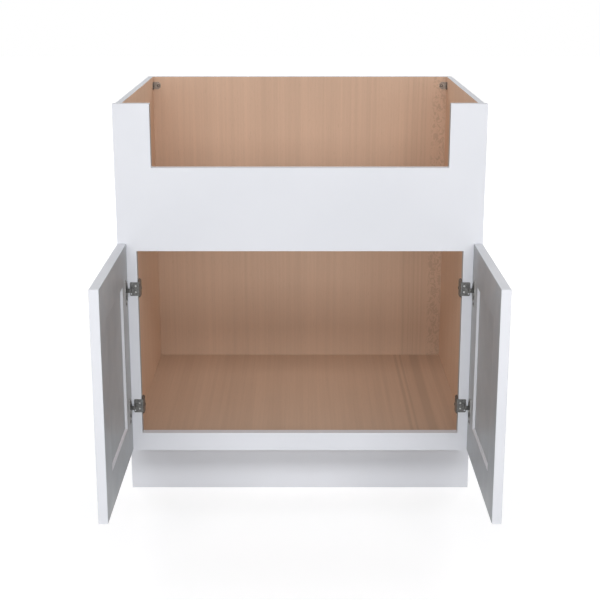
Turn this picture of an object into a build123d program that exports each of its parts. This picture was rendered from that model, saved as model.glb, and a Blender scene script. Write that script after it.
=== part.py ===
from build123d import *
import os

# Sink base cabinet with an apron front, an open top and two framed doors.
# Millimetres. Origin: rear bottom centre, where the wall meets the floor.
# +X is to the right as seen from the front, +Y goes into the wall, +Z is up.
# The doors are drawn standing open at a right angle.

# ---- cabinet, overall ----
CABINET_WIDTH = 762.0          # over the face frame
CABINET_DEPTH = 609.6          # wall to the face frame's front
CABINET_HEIGHT = 876.3         # without a worktop

# ---- face frame ----
FRAME_THICKNESS = 19.0
STILE_WIDTH = 40.0
RAIL_HEIGHT = 40.0
APRON_HEIGHT = 305.3           # apron board, from the cabinet's top down
APRON_HORN_WIDTH = 35.2        # apron left standing at each end of the sink's cut-out
NOTCH_DEPTH = 130.7            # cut-out for the sink's front, from the cabinet's top down
FRAME_EDGE_ROUND = 1.0         # eased outer edges
NOTCH_CORNER_RADIUS = 1.5

# ---- dowels of the face frame ----
DOWEL_RADIUS = 3.0
DOWEL_LENGTH = 38.0
DOWEL_FROM_FRONT = 8.0         # frame's front to the dowels' axes
DOWEL_CLEARANCE = 0.05         # round the dowel
DOWEL_END_GAP = 1.0            # at each end of its bore
APRON_DOWELS = 4
RAIL_DOWELS = 2
DOWEL_EDGE_DISTANCE = 12.0     # from a board's edge to the first dowel's axis

# ---- box panels ----
PANEL_THICKNESS = 12.7
SIDE_INSET = 5.0               # side's outer face, inside the frame's edge
GROOVE_DEPTH = 6.0             # housings in the sides, frame and back
GROOVE_CLEARANCE = 0.1
FLOOR_DROP = 11.0              # floor's top, below the bottom rail's top

# ---- toe kick ----
TOE_HEIGHT = 127.0
TOE_RECESS = 92.0              # face frame's front to the cover's front
TOE_COVER_THICKNESS = 5.0
TOE_COVER_SIDE_GAP = 1.0       # cover's ends, inside the frame's edge
TOE_COVER_TOP_GAP = 1.0

# ---- doors ----
DOOR_THICKNESS = 19.05
DOOR_EDGE_REVEAL = 2.0         # door's outer edge, inside the frame's edge
DOOR_MEETING_GAP = 3.2         # between the closed doors
DOOR_TOP_OVERLAY = 17.0        # over the apron
DOOR_BOTTOM_REVEAL = 4.0       # door's bottom, above the rail's bottom edge
DOOR_BACK_GAP = 2.6            # closed door to the face frame
DOOR_MEMBER_WIDTH = 79.0       # stiles and rails
DOOR_BEVEL = 4.7               # sloped inner edge on the back
DOOR_PANEL_THICKNESS = 7.3
DOOR_PANEL_FRONT_RECESS = 6.6
DOOR_GROOVE_DEPTH = 10.0
DOOR_JOINT_CLEARANCE = 0.1
DOOR_TENON_SHOULDER = 12.0     # tenon's end, inside the rail's outer edge
DOOR_FRONT_ROUND = 1.5
DOOR_BACK_ROUND = 1.8

# ---- hinges ----
HINGE_FROM_DOOR_END = 98.7     # hinge's centre to the door's top or bottom
PIN_FROM_DOOR_EDGE = 7.8
PIN_FROM_DOOR_BACK = 10.0
PIN_RADIUS = 1.25
PIN_LENGTH = 15.6
PIN_EYE_CLEARANCE = 0.05
PIN_LUG_CLEARANCE = 0.03
OPENING_ANGLE = 90.0           # how far the doors stand open here

CUP_RADIUS = 17.5
CUP_DEPTH = 13.0
CUP_WALL = 0.7
CUP_BOTTOM = 0.5
CUP_FROM_DOOR_EDGE = 4.0       # cup's rim to the door's edge
CUP_BORE_CLEARANCE = 0.1
FLANGE_THICKNESS = 0.9
FLANGE_RIM = 1.8               # flange round the cup
WING_OFFSET = 9.5              # cup's centre to the screws' line
WING_WIDTH = 14.0
WING_HEIGHT = 58.0
WING_CORNER_RADIUS = 6.0
LUG_THICKNESS = 1.6
LUG_SIDE_GAP = 0.7             # between the arm and each lug
LUG_ABOVE_PIN = 2.6
LUG_BEFORE_PIN = 3.4

CUP_SCREW_SPACING = 45.0
CUP_SCREW_RADIUS = 1.75
CUP_SCREW_LENGTH = 11.0
CUP_SCREW_HEAD_RADIUS = 3.4
CUP_SCREW_HEAD_HEIGHT = 1.0

PLATE_THICKNESS = 1.0
PLATE_REACH = 17.0             # front leg, from the web's inner face
PLATE_HEIGHT = 29.5
PLATE_WEB_DEPTH = 17.0
PLATE_CORNER_RADIUS = 2.0
PLATE_SCREW_SPACING = 12.8
PLATE_SCREW_FROM_EDGE = 4.0    # stile's inner edge to the screws' line
PLATE_SCREW_RADIUS = 1.25
PLATE_SCREW_LENGTH = 12.0
PLATE_SCREW_HEAD_RADIUS = 2.0
PLATE_SCREW_HEAD_HEIGHT = 0.8
PLATE_HOLE_RADIUS = 1.2        # punched holes near the leg's free end
PLATE_HOLE_SPACING = 21.0
PLATE_HOLE_FROM_END = 2.6

BLOCK_THICKNESS = 5.0          # edge block, off the plate's web
BLOCK_HEIGHT = 38.0
BLOCK_FRONT_SETBACK = 3.0      # block's front, behind the frame's front
BLOCK_DEPTH = 14.0
BLOCK_CORNER_RADIUS = 4.0
EDGE_SCREW_RADIUS = 1.75
EDGE_SCREW_LENGTH = 18.0
EDGE_SCREW_HEAD_RADIUS = 3.4
EDGE_SCREW_HEAD_HEIGHT = 1.6

ARM_THICKNESS = 1.5
ARM_HEIGHT = 9.0
ARM_BASE_LENGTH = 7.0
ARM_FROM_PLATE_END = 2.0       # arm's upright, inside the leg's free end
ARM_DROP = 0.7                 # bar's inner face, off the pin's axis
ARM_BEND_RADIUS = 0.6
RIVET_RADIUS = 1.5
RIVET_HEAD_RADIUS = 2.4
RIVET_HEAD_HEIGHT = 0.8

SCREW_CLEARANCE = 0.05         # screw or rivet in its hole

# ---- top rear corner brackets ----
BRACKET_THICKNESS = 1.5
BRACKET_LEG = 18.3
BRACKET_HEIGHT = 17.7
BRACKET_TOP_GAP = 13.0         # bracket's top, below the cabinet's top
BRACKET_TIP_CHAMFER = 5.0
BRACKET_HOLE_RADIUS = 2.2
BRACKET_HOLE_FROM_TIP = 5.0
BRACKET_SCREW_RADIUS = 1.75
BRACKET_SCREW_LENGTH = 11.0
BRACKET_SCREW_HEAD_RADIUS = 3.4
BRACKET_SCREW_HEAD_HEIGHT = 1.6

# ---- places worked out from the sizes above; x is given for the right-hand side ----
HALF_WIDTH = CABINET_WIDTH / 2
FRONT = -CABINET_DEPTH
FRAME_BACK = FRONT + FRAME_THICKNESS
OPENING_HALF = HALF_WIDTH - STILE_WIDTH
NOTCH_HALF = OPENING_HALF - APRON_HORN_WIDTH
APRON_BOTTOM = CABINET_HEIGHT - APRON_HEIGHT
NOTCH_BOTTOM = CABINET_HEIGHT - NOTCH_DEPTH
RAIL_TOP = TOE_HEIGHT + RAIL_HEIGHT
SIDE_OUTER = HALF_WIDTH - SIDE_INSET
SIDE_INNER = SIDE_OUTER - PANEL_THICKNESS
FLOOR_TOP = RAIL_TOP - FLOOR_DROP
FLOOR_UNDERSIDE = FLOOR_TOP - PANEL_THICKNESS
BACK_FRONT = -PANEL_THICKNESS
TOE_FRONT = FRONT + TOE_RECESS
TOE_BOARD_FRONT = TOE_FRONT + TOE_COVER_THICKNESS

DOOR_OUTER = HALF_WIDTH - DOOR_EDGE_REVEAL
DOOR_INNER = DOOR_MEETING_GAP / 2
DOOR_WIDTH = DOOR_OUTER - DOOR_INNER
DOOR_BOTTOM = TOE_HEIGHT + DOOR_BOTTOM_REVEAL
DOOR_TOP = APRON_BOTTOM + DOOR_TOP_OVERLAY
DOOR_BACK = FRONT - DOOR_BACK_GAP
DOOR_FRONT = DOOR_BACK - DOOR_THICKNESS
DOOR_PANEL_FRONT = DOOR_FRONT + DOOR_PANEL_FRONT_RECESS
DOOR_PANEL_BACK = DOOR_PANEL_FRONT + DOOR_PANEL_THICKNESS
MEMBER_INNER_LOW = DOOR_INNER + DOOR_MEMBER_WIDTH
MEMBER_INNER_HIGH = DOOR_OUTER - DOOR_MEMBER_WIDTH

HINGE_HEIGHTS = {"upper": DOOR_TOP - HINGE_FROM_DOOR_END, "lower": DOOR_BOTTOM + HINGE_FROM_DOOR_END}
PIN_X = DOOR_OUTER - PIN_FROM_DOOR_EDGE
PIN_Y = DOOR_BACK - PIN_FROM_DOOR_BACK
PIN_AXIS = Axis((PIN_X, PIN_Y, 0), (0, 0, 1))
CUP_X = DOOR_OUTER - CUP_FROM_DOOR_EDGE - CUP_RADIUS
WING_X = CUP_X - WING_OFFSET
PLATE_FRONT = FRONT - PLATE_THICKNESS
WEB_INNER = OPENING_HALF - PLATE_THICKNESS
PLATE_END = WEB_INNER + PLATE_REACH
PLATE_SCREW_X = OPENING_HALF + PLATE_SCREW_FROM_EDGE
BLOCK_INNER = WEB_INNER - BLOCK_THICKNESS
BLOCK_FRONT = FRONT + BLOCK_FRONT_SETBACK
EDGE_SCREW_Y = BLOCK_FRONT + BLOCK_DEPTH / 2
ARM_UPRIGHT_OUTER = PLATE_END - ARM_FROM_PLATE_END
ARM_UPRIGHT_INNER = ARM_UPRIGHT_OUTER - ARM_THICKNESS
ARM_BASE_INNER = ARM_UPRIGHT_OUTER - ARM_BASE_LENGTH
ARM_EYE_RADIUS = ARM_DROP + ARM_THICKNESS
RIVET_X = (ARM_BASE_INNER + ARM_UPRIGHT_INNER) / 2
BRACKET_MIDDLE = CABINET_HEIGHT - BRACKET_TOP_GAP - BRACKET_HEIGHT / 2


def block(x, y, z):
    """A box given by its lowest and highest x, y and z."""
    corner = Pos(x[0], y[0], z[0])
    return corner * Box(x[1] - x[0], y[1] - y[0], z[1] - z[0], align=(Align.MIN, Align.MIN, Align.MIN))


def rod(start, direction, radius, length):
    """A cylinder from a point, along a direction."""
    upright = Cylinder(radius, length, align=(Align.CENTER, Align.CENTER, Align.MIN))
    return Plane(origin=start, z_dir=direction) * upright


def pan_head_screw(seat, direction, radius, length, head_radius, head_height):
    """A screw whose head rests on the seat and whose shank goes along the direction."""
    shank = rod(seat, direction, radius, length)
    outward = tuple(-part for part in direction)
    head = rod(seat, outward, head_radius, head_height)
    circles = head.edges().filter_by(GeomType.CIRCLE)
    rim = circles.sort_by(lambda edge: (edge.center() - Vector(*seat)).length)[-1]
    return shank + fillet(rim, head_height * 0.45)


def mirrored(shape):
    """The same piece on the cabinet's left."""
    return mirror(shape, about=Plane.YZ)


# ---- face frame ----
def dowel_heights(low, high, count):
    """Heights of a row of dowels between a board's two edges."""
    first = low + DOWEL_EDGE_DISTANCE
    last = high - DOWEL_EDGE_DISTANCE
    return [first + (last - first) * index / (count - 1) for index in range(count)]


FRAME_DOWEL_HEIGHTS = (dowel_heights(APRON_BOTTOM, CABINET_HEIGHT, APRON_DOWELS)
                       + dowel_heights(TOE_HEIGHT, RAIL_TOP, RAIL_DOWELS))
DOWEL_Y = FRONT + DOWEL_FROM_FRONT


def frame_dowel(height):
    """One dowel across the joint between a board's end and the right stile."""
    return rod((OPENING_HALF - DOWEL_LENGTH / 2, DOWEL_Y, height), (1, 0, 0), DOWEL_RADIUS, DOWEL_LENGTH)


def frame_dowel_bore(height):
    """The bore that one dowel sits in."""
    length = DOWEL_LENGTH + 2 * DOWEL_END_GAP
    radius = DOWEL_RADIUS + DOWEL_CLEARANCE
    return rod((OPENING_HALF - length / 2, DOWEL_Y, height), (1, 0, 0), radius, length)


def stile():
    """Right upright, with a housing for the side panel and the bores of its dowels and hinge screws."""
    body = block((OPENING_HALF, HALF_WIDTH), (FRONT, FRAME_BACK), (TOE_HEIGHT, CABINET_HEIGHT))
    outer = body.edges().filter_by(Axis.Z).sort_by(Axis.X)[-2:]
    body = fillet(outer.sort_by(Axis.Y)[0], FRAME_EDGE_ROUND)
    housing_x = (SIDE_INNER - GROOVE_CLEARANCE, SIDE_OUTER + GROOVE_CLEARANCE)
    body -= block(housing_x, (FRAME_BACK - GROOVE_DEPTH, FRAME_BACK), (TOE_HEIGHT, CABINET_HEIGHT))
    for height in FRAME_DOWEL_HEIGHTS:
        body -= frame_dowel_bore(height)
    for height in HINGE_HEIGHTS.values():
        for screw_height in plate_screw_heights(height):
            body -= rod((PLATE_SCREW_X, FRONT, screw_height), (0, 1, 0),
                        PLATE_SCREW_RADIUS + SCREW_CLEARANCE, PLATE_SCREW_LENGTH)
        body -= rod((OPENING_HALF, EDGE_SCREW_Y, height), (1, 0, 0),
                    EDGE_SCREW_RADIUS + SCREW_CLEARANCE, EDGE_SCREW_LENGTH)
    return body


def apron_board():
    """U-shaped board between the stiles, notched for the sink's front."""
    body = block((-OPENING_HALF, OPENING_HALF), (FRONT, FRAME_BACK), (APRON_BOTTOM, CABINET_HEIGHT))
    notch = block((-NOTCH_HALF, NOTCH_HALF), (FRONT, FRAME_BACK), (NOTCH_BOTTOM, CABINET_HEIGHT))
    inner = notch.edges().filter_by(Axis.Y).sort_by(Axis.Z)[:2]
    body -= fillet(inner, NOTCH_CORNER_RADIUS)
    for height in FRAME_DOWEL_HEIGHTS:
        if height > APRON_BOTTOM:
            bore = frame_dowel_bore(height)
            body -= bore
            body -= mirrored(bore)
    return body


def bottom_rail():
    """Rail below the opening, with a housing for the floor's front edge."""
    body = block((-OPENING_HALF, OPENING_HALF), (FRONT, FRAME_BACK), (TOE_HEIGHT, RAIL_TOP))
    housing_z = (FLOOR_UNDERSIDE - GROOVE_CLEARANCE, FLOOR_TOP + GROOVE_CLEARANCE)
    body -= block((-OPENING_HALF, OPENING_HALF), (FRAME_BACK - GROOVE_DEPTH, FRAME_BACK), housing_z)
    for height in FRAME_DOWEL_HEIGHTS:
        if height < RAIL_TOP:
            bore = frame_dowel_bore(height)
            body -= bore
            body -= mirrored(bore)
    return body


def frame_dowels():
    """Every dowel of the face frame, both sides."""
    right = [frame_dowel(height) for height in FRAME_DOWEL_HEIGHTS]
    return right + [mirrored(dowel) for dowel in right]


# ---- box ----
def side_panel():
    """Right side: toe notch in front, housings for the floor and the back inside."""
    front_edge = FRAME_BACK - GROOVE_DEPTH + GROOVE_CLEARANCE
    body = block((SIDE_INNER, SIDE_OUTER), (front_edge, 0), (0, CABINET_HEIGHT))
    body -= block((SIDE_INNER, SIDE_OUTER), (front_edge, TOE_BOARD_FRONT), (0, TOE_HEIGHT))
    housing_x = (SIDE_INNER, SIDE_INNER + GROOVE_DEPTH)
    floor_z = (FLOOR_UNDERSIDE - GROOVE_CLEARANCE, FLOOR_TOP + GROOVE_CLEARANCE)
    body -= block(housing_x, (front_edge, 0), floor_z)
    body -= block(housing_x, (BACK_FRONT - GROOVE_CLEARANCE, 0), (0, CABINET_HEIGHT))
    body -= bracket_screw_hole()
    return body


def back_panel():
    """Back, let into the sides' rear edges and flush with them, down to the floor."""
    half = SIDE_INNER + GROOVE_DEPTH - GROOVE_CLEARANCE
    body = block((-half, half), (BACK_FRONT, 0), (0, CABINET_HEIGHT))
    housing_z = (FLOOR_UNDERSIDE - GROOVE_CLEARANCE, FLOOR_TOP + GROOVE_CLEARANCE)
    body -= block((-half, half), (BACK_FRONT, BACK_FRONT + GROOVE_DEPTH), housing_z)
    return body


def floor_panel():
    """Floor, housed in the sides, the back and the bottom rail, notched round the stiles."""
    half = SIDE_INNER + GROOVE_DEPTH - GROOVE_CLEARANCE
    front_edge = FRAME_BACK - GROOVE_DEPTH + GROOVE_CLEARANCE
    rear_edge = BACK_FRONT + GROOVE_DEPTH - GROOVE_CLEARANCE
    body = block((-half, half), (FRAME_BACK + GROOVE_CLEARANCE, rear_edge), (FLOOR_UNDERSIDE, FLOOR_TOP))
    tongue_half = OPENING_HALF - GROOVE_CLEARANCE
    body += block((-tongue_half, tongue_half), (front_edge, FRAME_BACK + GROOVE_CLEARANCE),
                  (FLOOR_UNDERSIDE, FLOOR_TOP))
    for side in (-1, 1):
        corner_x = tuple(sorted((side * (SIDE_INNER - GROOVE_CLEARANCE), side * half)))
        body -= block(corner_x, (BACK_FRONT - GROOVE_CLEARANCE, rear_edge), (FLOOR_UNDERSIDE, FLOOR_TOP))
    return body


def toe_kick_board():
    """Board between the sides that carries the floor's front."""
    half = SIDE_INNER - GROOVE_CLEARANCE
    return block((-half, half), (TOE_BOARD_FRONT, TOE_BOARD_FRONT + PANEL_THICKNESS), (0, FLOOR_UNDERSIDE))


def toe_kick_cover():
    """White cover in front of the toe kick board and the sides' edges."""
    half = HALF_WIDTH - TOE_COVER_SIDE_GAP
    return block((-half, half), (TOE_FRONT, TOE_BOARD_FRONT), (0, TOE_HEIGHT - TOE_COVER_TOP_GAP))


# ---- top rear corner brackets ----
BRACKET_SCREW_SEAT = (SIDE_INNER - BRACKET_THICKNESS, BACK_FRONT - BRACKET_LEG + BRACKET_HOLE_FROM_TIP,
                      BRACKET_MIDDLE)


def bracket_screw_hole():
    """The hole of the bracket's screw, through the leg and into the side."""
    return rod(BRACKET_SCREW_SEAT, (1, 0, 0), BRACKET_SCREW_RADIUS + SCREW_CLEARANCE, BRACKET_SCREW_LENGTH)


def bracket_tip(plane_origin, x_dir, normal):
    """Outline of one leg: a plate whose free end is chamfered to a point."""
    half = BRACKET_HEIGHT / 2
    straight = BRACKET_LEG - BRACKET_TIP_CHAMFER
    with_point = [(0, -half), (straight, -half), (BRACKET_LEG, -half + BRACKET_TIP_CHAMFER),
                  (BRACKET_LEG, half - BRACKET_TIP_CHAMFER), (straight, half), (0, half)]
    outline = Plane(origin=plane_origin, x_dir=x_dir, z_dir=normal) * Polygon(*with_point, align=None)
    return extrude(outline, BRACKET_THICKNESS)


def corner_bracket():
    """Right-hand steel angle between the side and the back."""
    corner = (SIDE_INNER, BACK_FRONT, BRACKET_MIDDLE)
    back_leg = bracket_tip(corner, (-1, 0, 0), (0, -1, 0))
    side_leg = bracket_tip(corner, (0, -1, 0), (-1, 0, 0))
    body = back_leg + side_leg
    hole_x = SIDE_INNER - BRACKET_LEG + BRACKET_HOLE_FROM_TIP
    body -= rod((hole_x, BACK_FRONT - BRACKET_THICKNESS, BRACKET_MIDDLE), (0, 1, 0),
                BRACKET_HOLE_RADIUS, BRACKET_THICKNESS)
    return body - bracket_screw_hole()


def corner_bracket_screws():
    """The screws that hold the brackets to the sides."""
    screw = pan_head_screw(BRACKET_SCREW_SEAT, (1, 0, 0), BRACKET_SCREW_RADIUS, BRACKET_SCREW_LENGTH,
                           BRACKET_SCREW_HEAD_RADIUS, BRACKET_SCREW_HEAD_HEIGHT)
    return [mirrored(screw), screw]


# ---- hinges, drawn for the right-hand side with the door closed ----
def plate_screw_heights(height):
    """Heights of the two front screws of the hinge plate."""
    return (height - PLATE_SCREW_SPACING / 2, height + PLATE_SCREW_SPACING / 2)


def hinge_plate(height):
    """Pressed plate that wraps the stile's inner edge."""
    low, high = height - PLATE_HEIGHT / 2, height + PLATE_HEIGHT / 2
    leg = block((WEB_INNER, PLATE_END), (PLATE_FRONT, FRONT), (low, high))
    leg = fillet(leg.edges().filter_by(Axis.Y).sort_by(Axis.X)[-2:], PLATE_CORNER_RADIUS)
    web = block((WEB_INNER, OPENING_HALF), (PLATE_FRONT, FRONT + PLATE_WEB_DEPTH), (low, high))
    body = leg + web
    bend = body.edges().filter_by(Axis.Z).sort_by(lambda edge: edge.center().X + edge.center().Y)[0]
    body = fillet(bend, PLATE_THICKNESS * 0.9)
    for screw_height in plate_screw_heights(height):
        body -= rod((PLATE_SCREW_X, PLATE_FRONT, screw_height), (0, 1, 0),
                    PLATE_SCREW_RADIUS + SCREW_CLEARANCE, PLATE_THICKNESS)
    for side in (-1, 1):
        hole = (PLATE_END - PLATE_HOLE_FROM_END, PLATE_FRONT, height + side * PLATE_HOLE_SPACING / 2)
        body -= rod(hole, (0, 1, 0), PLATE_HOLE_RADIUS, PLATE_THICKNESS)
    body -= rod((WEB_INNER, EDGE_SCREW_Y, height), (1, 0, 0),
                EDGE_SCREW_RADIUS + SCREW_CLEARANCE, PLATE_THICKNESS)
    body -= rod((RIVET_X, PLATE_FRONT, height), (0, 1, 0), RIVET_RADIUS + SCREW_CLEARANCE, PLATE_THICKNESS)
    return body


def hinge_edge_block(height):
    """Block behind the plate's web, held by the edge screw."""
    body = block((BLOCK_INNER, WEB_INNER), (BLOCK_FRONT, BLOCK_FRONT + BLOCK_DEPTH),
                 (height - BLOCK_HEIGHT / 2, height + BLOCK_HEIGHT / 2))
    body = fillet(body.edges().filter_by(Axis.Y).sort_by(Axis.X)[:2], BLOCK_CORNER_RADIUS)
    return body - rod((BLOCK_INNER, EDGE_SCREW_Y, height), (1, 0, 0),
                      EDGE_SCREW_RADIUS + SCREW_CLEARANCE, BLOCK_THICKNESS)


def hinge_arm(height):
    """Bent strip from the plate into the cup, with the eye that the pin goes through."""
    low, high = height - ARM_HEIGHT / 2, height + ARM_HEIGHT / 2
    bar_inner = PIN_Y - ARM_DROP
    bar_outer = bar_inner - ARM_THICKNESS
    base = block((ARM_BASE_INNER, ARM_UPRIGHT_OUTER), (PLATE_FRONT - ARM_THICKNESS, PLATE_FRONT), (low, high))
    upright = block((ARM_UPRIGHT_INNER, ARM_UPRIGHT_OUTER), (bar_outer, PLATE_FRONT), (low, high))
    bar = block((ARM_UPRIGHT_INNER, PIN_X), (bar_outer, bar_inner), (low, high))
    eye = rod((PIN_X, PIN_Y, low), (0, 0, 1), ARM_EYE_RADIUS, ARM_HEIGHT)
    body = base + upright + bar + eye
    bend = body.edges().filter_by(Axis.Z).sort_by(lambda edge: edge.center().X + edge.center().Y)[0]
    body = fillet(bend, ARM_BEND_RADIUS)
    body -= rod((PIN_X, PIN_Y, low), (0, 0, 1), PIN_RADIUS + PIN_EYE_CLEARANCE, ARM_HEIGHT)
    return body - rod((RIVET_X, PLATE_FRONT - ARM_THICKNESS, height), (0, 1, 0),
                      RIVET_RADIUS + SCREW_CLEARANCE, ARM_THICKNESS)


def hinge_fixings(height):
    """Plate screws, edge screw and arm rivet of one hinge, as a dict of lists."""
    plate_screws = [pan_head_screw((PLATE_SCREW_X, PLATE_FRONT, screw_height), (0, 1, 0), PLATE_SCREW_RADIUS,
                                   PLATE_SCREW_LENGTH, PLATE_SCREW_HEAD_RADIUS, PLATE_SCREW_HEAD_HEIGHT)
                    for screw_height in plate_screw_heights(height)]
    edge_screw = pan_head_screw((BLOCK_INNER, EDGE_SCREW_Y, height), (1, 0, 0), EDGE_SCREW_RADIUS,
                                EDGE_SCREW_LENGTH, EDGE_SCREW_HEAD_RADIUS, EDGE_SCREW_HEAD_HEIGHT)
    rivet = pan_head_screw((RIVET_X, PLATE_FRONT - ARM_THICKNESS, height), (0, 1, 0), RIVET_RADIUS,
                           ARM_THICKNESS + PLATE_THICKNESS, RIVET_HEAD_RADIUS, RIVET_HEAD_HEIGHT)
    return {"hinge_plate_screws": plate_screws, "hinge_edge_screws": [edge_screw],
            "hinge_arm_rivets": [rivet]}


def hinge_cup(height):
    """Pressed cup with its flange and the two lugs that hold the pin."""
    mouth = (CUP_X, DOOR_BACK, height)
    inner_radius = CUP_RADIUS - CUP_WALL
    flange_back = DOOR_BACK + FLANGE_THICKNESS
    body = rod(mouth, (0, -1, 0), CUP_RADIUS, CUP_DEPTH)
    body += rod((CUP_X, flange_back, height), (0, -1, 0), CUP_RADIUS + FLANGE_RIM, FLANGE_THICKNESS)
    wings = block((WING_X - WING_WIDTH / 2, WING_X + WING_WIDTH / 2), (DOOR_BACK, flange_back),
                  (height - WING_HEIGHT / 2, height + WING_HEIGHT / 2))
    body += fillet(wings.edges().filter_by(Axis.Y), WING_CORNER_RADIUS)
    inner_depth = FLANGE_THICKNESS + CUP_DEPTH - CUP_BOTTOM
    body -= rod((CUP_X, flange_back, height), (0, -1, 0), inner_radius, inner_depth)
    cup_floor = DOOR_BACK - CUP_DEPTH
    cup_space = rod((CUP_X, cup_floor, height), (0, 1, 0), CUP_RADIUS - CUP_WALL / 2, CUP_DEPTH)
    for side in (-1, 1):
        near = side * (ARM_HEIGHT / 2 + LUG_SIDE_GAP)
        far = near + side * LUG_THICKNESS
        lug = block((PIN_X - LUG_BEFORE_PIN, CUP_X + CUP_RADIUS), (cup_floor, PIN_Y + LUG_ABOVE_PIN),
                    tuple(sorted((height + near, height + far))))
        body += lug & cup_space
    body -= rod((PIN_X, PIN_Y, height - PIN_LENGTH / 2), (0, 0, 1),
                PIN_RADIUS + PIN_LUG_CLEARANCE, PIN_LENGTH)
    for seat in cup_screw_seats(height):
        body -= rod(seat, (0, -1, 0), CUP_SCREW_RADIUS + SCREW_CLEARANCE, FLANGE_THICKNESS)
    return body


def cup_screw_seats(height):
    """Where the two cup screws' heads rest on the flange."""
    return [(WING_X, DOOR_BACK + FLANGE_THICKNESS, height + side * CUP_SCREW_SPACING / 2) for side in (-1, 1)]


def cup_screws(height):
    """The two screws of one cup."""
    return [pan_head_screw(seat, (0, -1, 0), CUP_SCREW_RADIUS, CUP_SCREW_LENGTH,
                           CUP_SCREW_HEAD_RADIUS, CUP_SCREW_HEAD_HEIGHT) for seat in cup_screw_seats(height)]


def hinge_pin(height):
    """The pin that the door turns on."""
    return rod((PIN_X, PIN_Y, height - PIN_LENGTH / 2), (0, 0, 1), PIN_RADIUS, PIN_LENGTH)


# ---- right-hand door, drawn closed ----
def door_frame():
    """The four members as one ring, with the bevel, the panel's groove and the eased outer edges."""
    outer = block((DOOR_INNER, DOOR_OUTER), (DOOR_FRONT, DOOR_BACK), (DOOR_BOTTOM, DOOR_TOP))
    back_rim = outer.edges().filter_by_position(Axis.Y, DOOR_BACK, DOOR_BACK)
    outer = fillet(back_rim, DOOR_BACK_ROUND)
    front_rim = outer.edges().filter_by_position(Axis.Y, DOOR_FRONT, DOOR_FRONT)
    outer = fillet(front_rim, DOOR_FRONT_ROUND)
    window_z = (DOOR_BOTTOM + DOOR_MEMBER_WIDTH, DOOR_TOP - DOOR_MEMBER_WIDTH)
    window = block((MEMBER_INNER_LOW, MEMBER_INNER_HIGH), (DOOR_FRONT, DOOR_BACK), window_z)
    bevel_base = Plane(origin=((MEMBER_INNER_LOW + MEMBER_INNER_HIGH) / 2, DOOR_BACK, sum(window_z) / 2),
                       x_dir=(1, 0, 0), z_dir=(0, -1, 0))
    window_width = MEMBER_INNER_HIGH - MEMBER_INNER_LOW
    window_height = window_z[1] - window_z[0]
    wide = bevel_base * Rectangle(window_width + 2 * DOOR_BEVEL, window_height + 2 * DOOR_BEVEL)
    narrow = bevel_base.offset(DOOR_BEVEL) * Rectangle(window_width, window_height)
    return outer - window - loft([wide.face(), narrow.face()]) - panel_groove()


def panel_groove():
    """The space that the panel's edges sit in."""
    half_gap = DOOR_JOINT_CLEARANCE
    return block((MEMBER_INNER_LOW - DOOR_GROOVE_DEPTH, MEMBER_INNER_HIGH + DOOR_GROOVE_DEPTH),
                 (DOOR_PANEL_FRONT - half_gap, DOOR_PANEL_BACK + half_gap),
                 (DOOR_BOTTOM + DOOR_MEMBER_WIDTH - DOOR_GROOVE_DEPTH,
                  DOOR_TOP - DOOR_MEMBER_WIDTH + DOOR_GROOVE_DEPTH))


def rail_tenons(rail_z, gap):
    """Tenons at both ends of a door rail; a positive gap gives the tenon, zero its mortise."""
    reach = DOOR_GROOVE_DEPTH - gap
    height = (rail_z[0] + gap, rail_z[1] - gap)
    depth = (DOOR_PANEL_FRONT - DOOR_JOINT_CLEARANCE + gap, DOOR_PANEL_BACK + DOOR_JOINT_CLEARANCE - gap)
    return (block((MEMBER_INNER_LOW - reach, MEMBER_INNER_LOW), depth, height)
            + block((MEMBER_INNER_HIGH, MEMBER_INNER_HIGH + reach), depth, height))


def door_members():
    """Hinge stile, meeting stile, top rail and bottom rail."""
    ring = door_frame()
    beside_groove = DOOR_MEMBER_WIDTH - DOOR_GROOVE_DEPTH
    top_z = (DOOR_TOP - beside_groove, DOOR_TOP - DOOR_TENON_SHOULDER)
    bottom_z = (DOOR_BOTTOM + DOOR_TENON_SHOULDER, DOOR_BOTTOM + beside_groove)
    mortises = rail_tenons(top_z, 0) + rail_tenons(bottom_z, 0)
    depth = (DOOR_FRONT, DOOR_BACK)
    height = (DOOR_BOTTOM, DOOR_TOP)
    middle = (DOOR_BOTTOM + DOOR_TOP) / 2
    hinge_stile = (ring & block((MEMBER_INNER_HIGH, DOOR_OUTER), depth, height)) - mortises
    meeting_stile = (ring & block((DOOR_INNER, MEMBER_INNER_LOW), depth, height)) - mortises
    between = (MEMBER_INNER_LOW, MEMBER_INNER_HIGH)
    top_rail = ring & block(between, depth, (middle, DOOR_TOP))
    bottom_rail_piece = ring & block(between, depth, (DOOR_BOTTOM, middle))
    top_rail += rail_tenons(top_z, DOOR_JOINT_CLEARANCE)
    bottom_rail_piece += rail_tenons(bottom_z, DOOR_JOINT_CLEARANCE)
    for hinge_height in HINGE_HEIGHTS.values():
        hinge_stile -= rod((CUP_X, DOOR_BACK, hinge_height), (0, -1, 0),
                           CUP_RADIUS + CUP_BORE_CLEARANCE, CUP_DEPTH + CUP_BORE_CLEARANCE)
        for seat in cup_screw_seats(hinge_height):
            hinge_stile -= rod(seat, (0, -1, 0), CUP_SCREW_RADIUS + SCREW_CLEARANCE,
                               CUP_SCREW_LENGTH + SCREW_CLEARANCE)
    return {"hinge_stile": hinge_stile, "meeting_stile": meeting_stile,
            "top_rail": top_rail, "bottom_rail": bottom_rail_piece}


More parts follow.
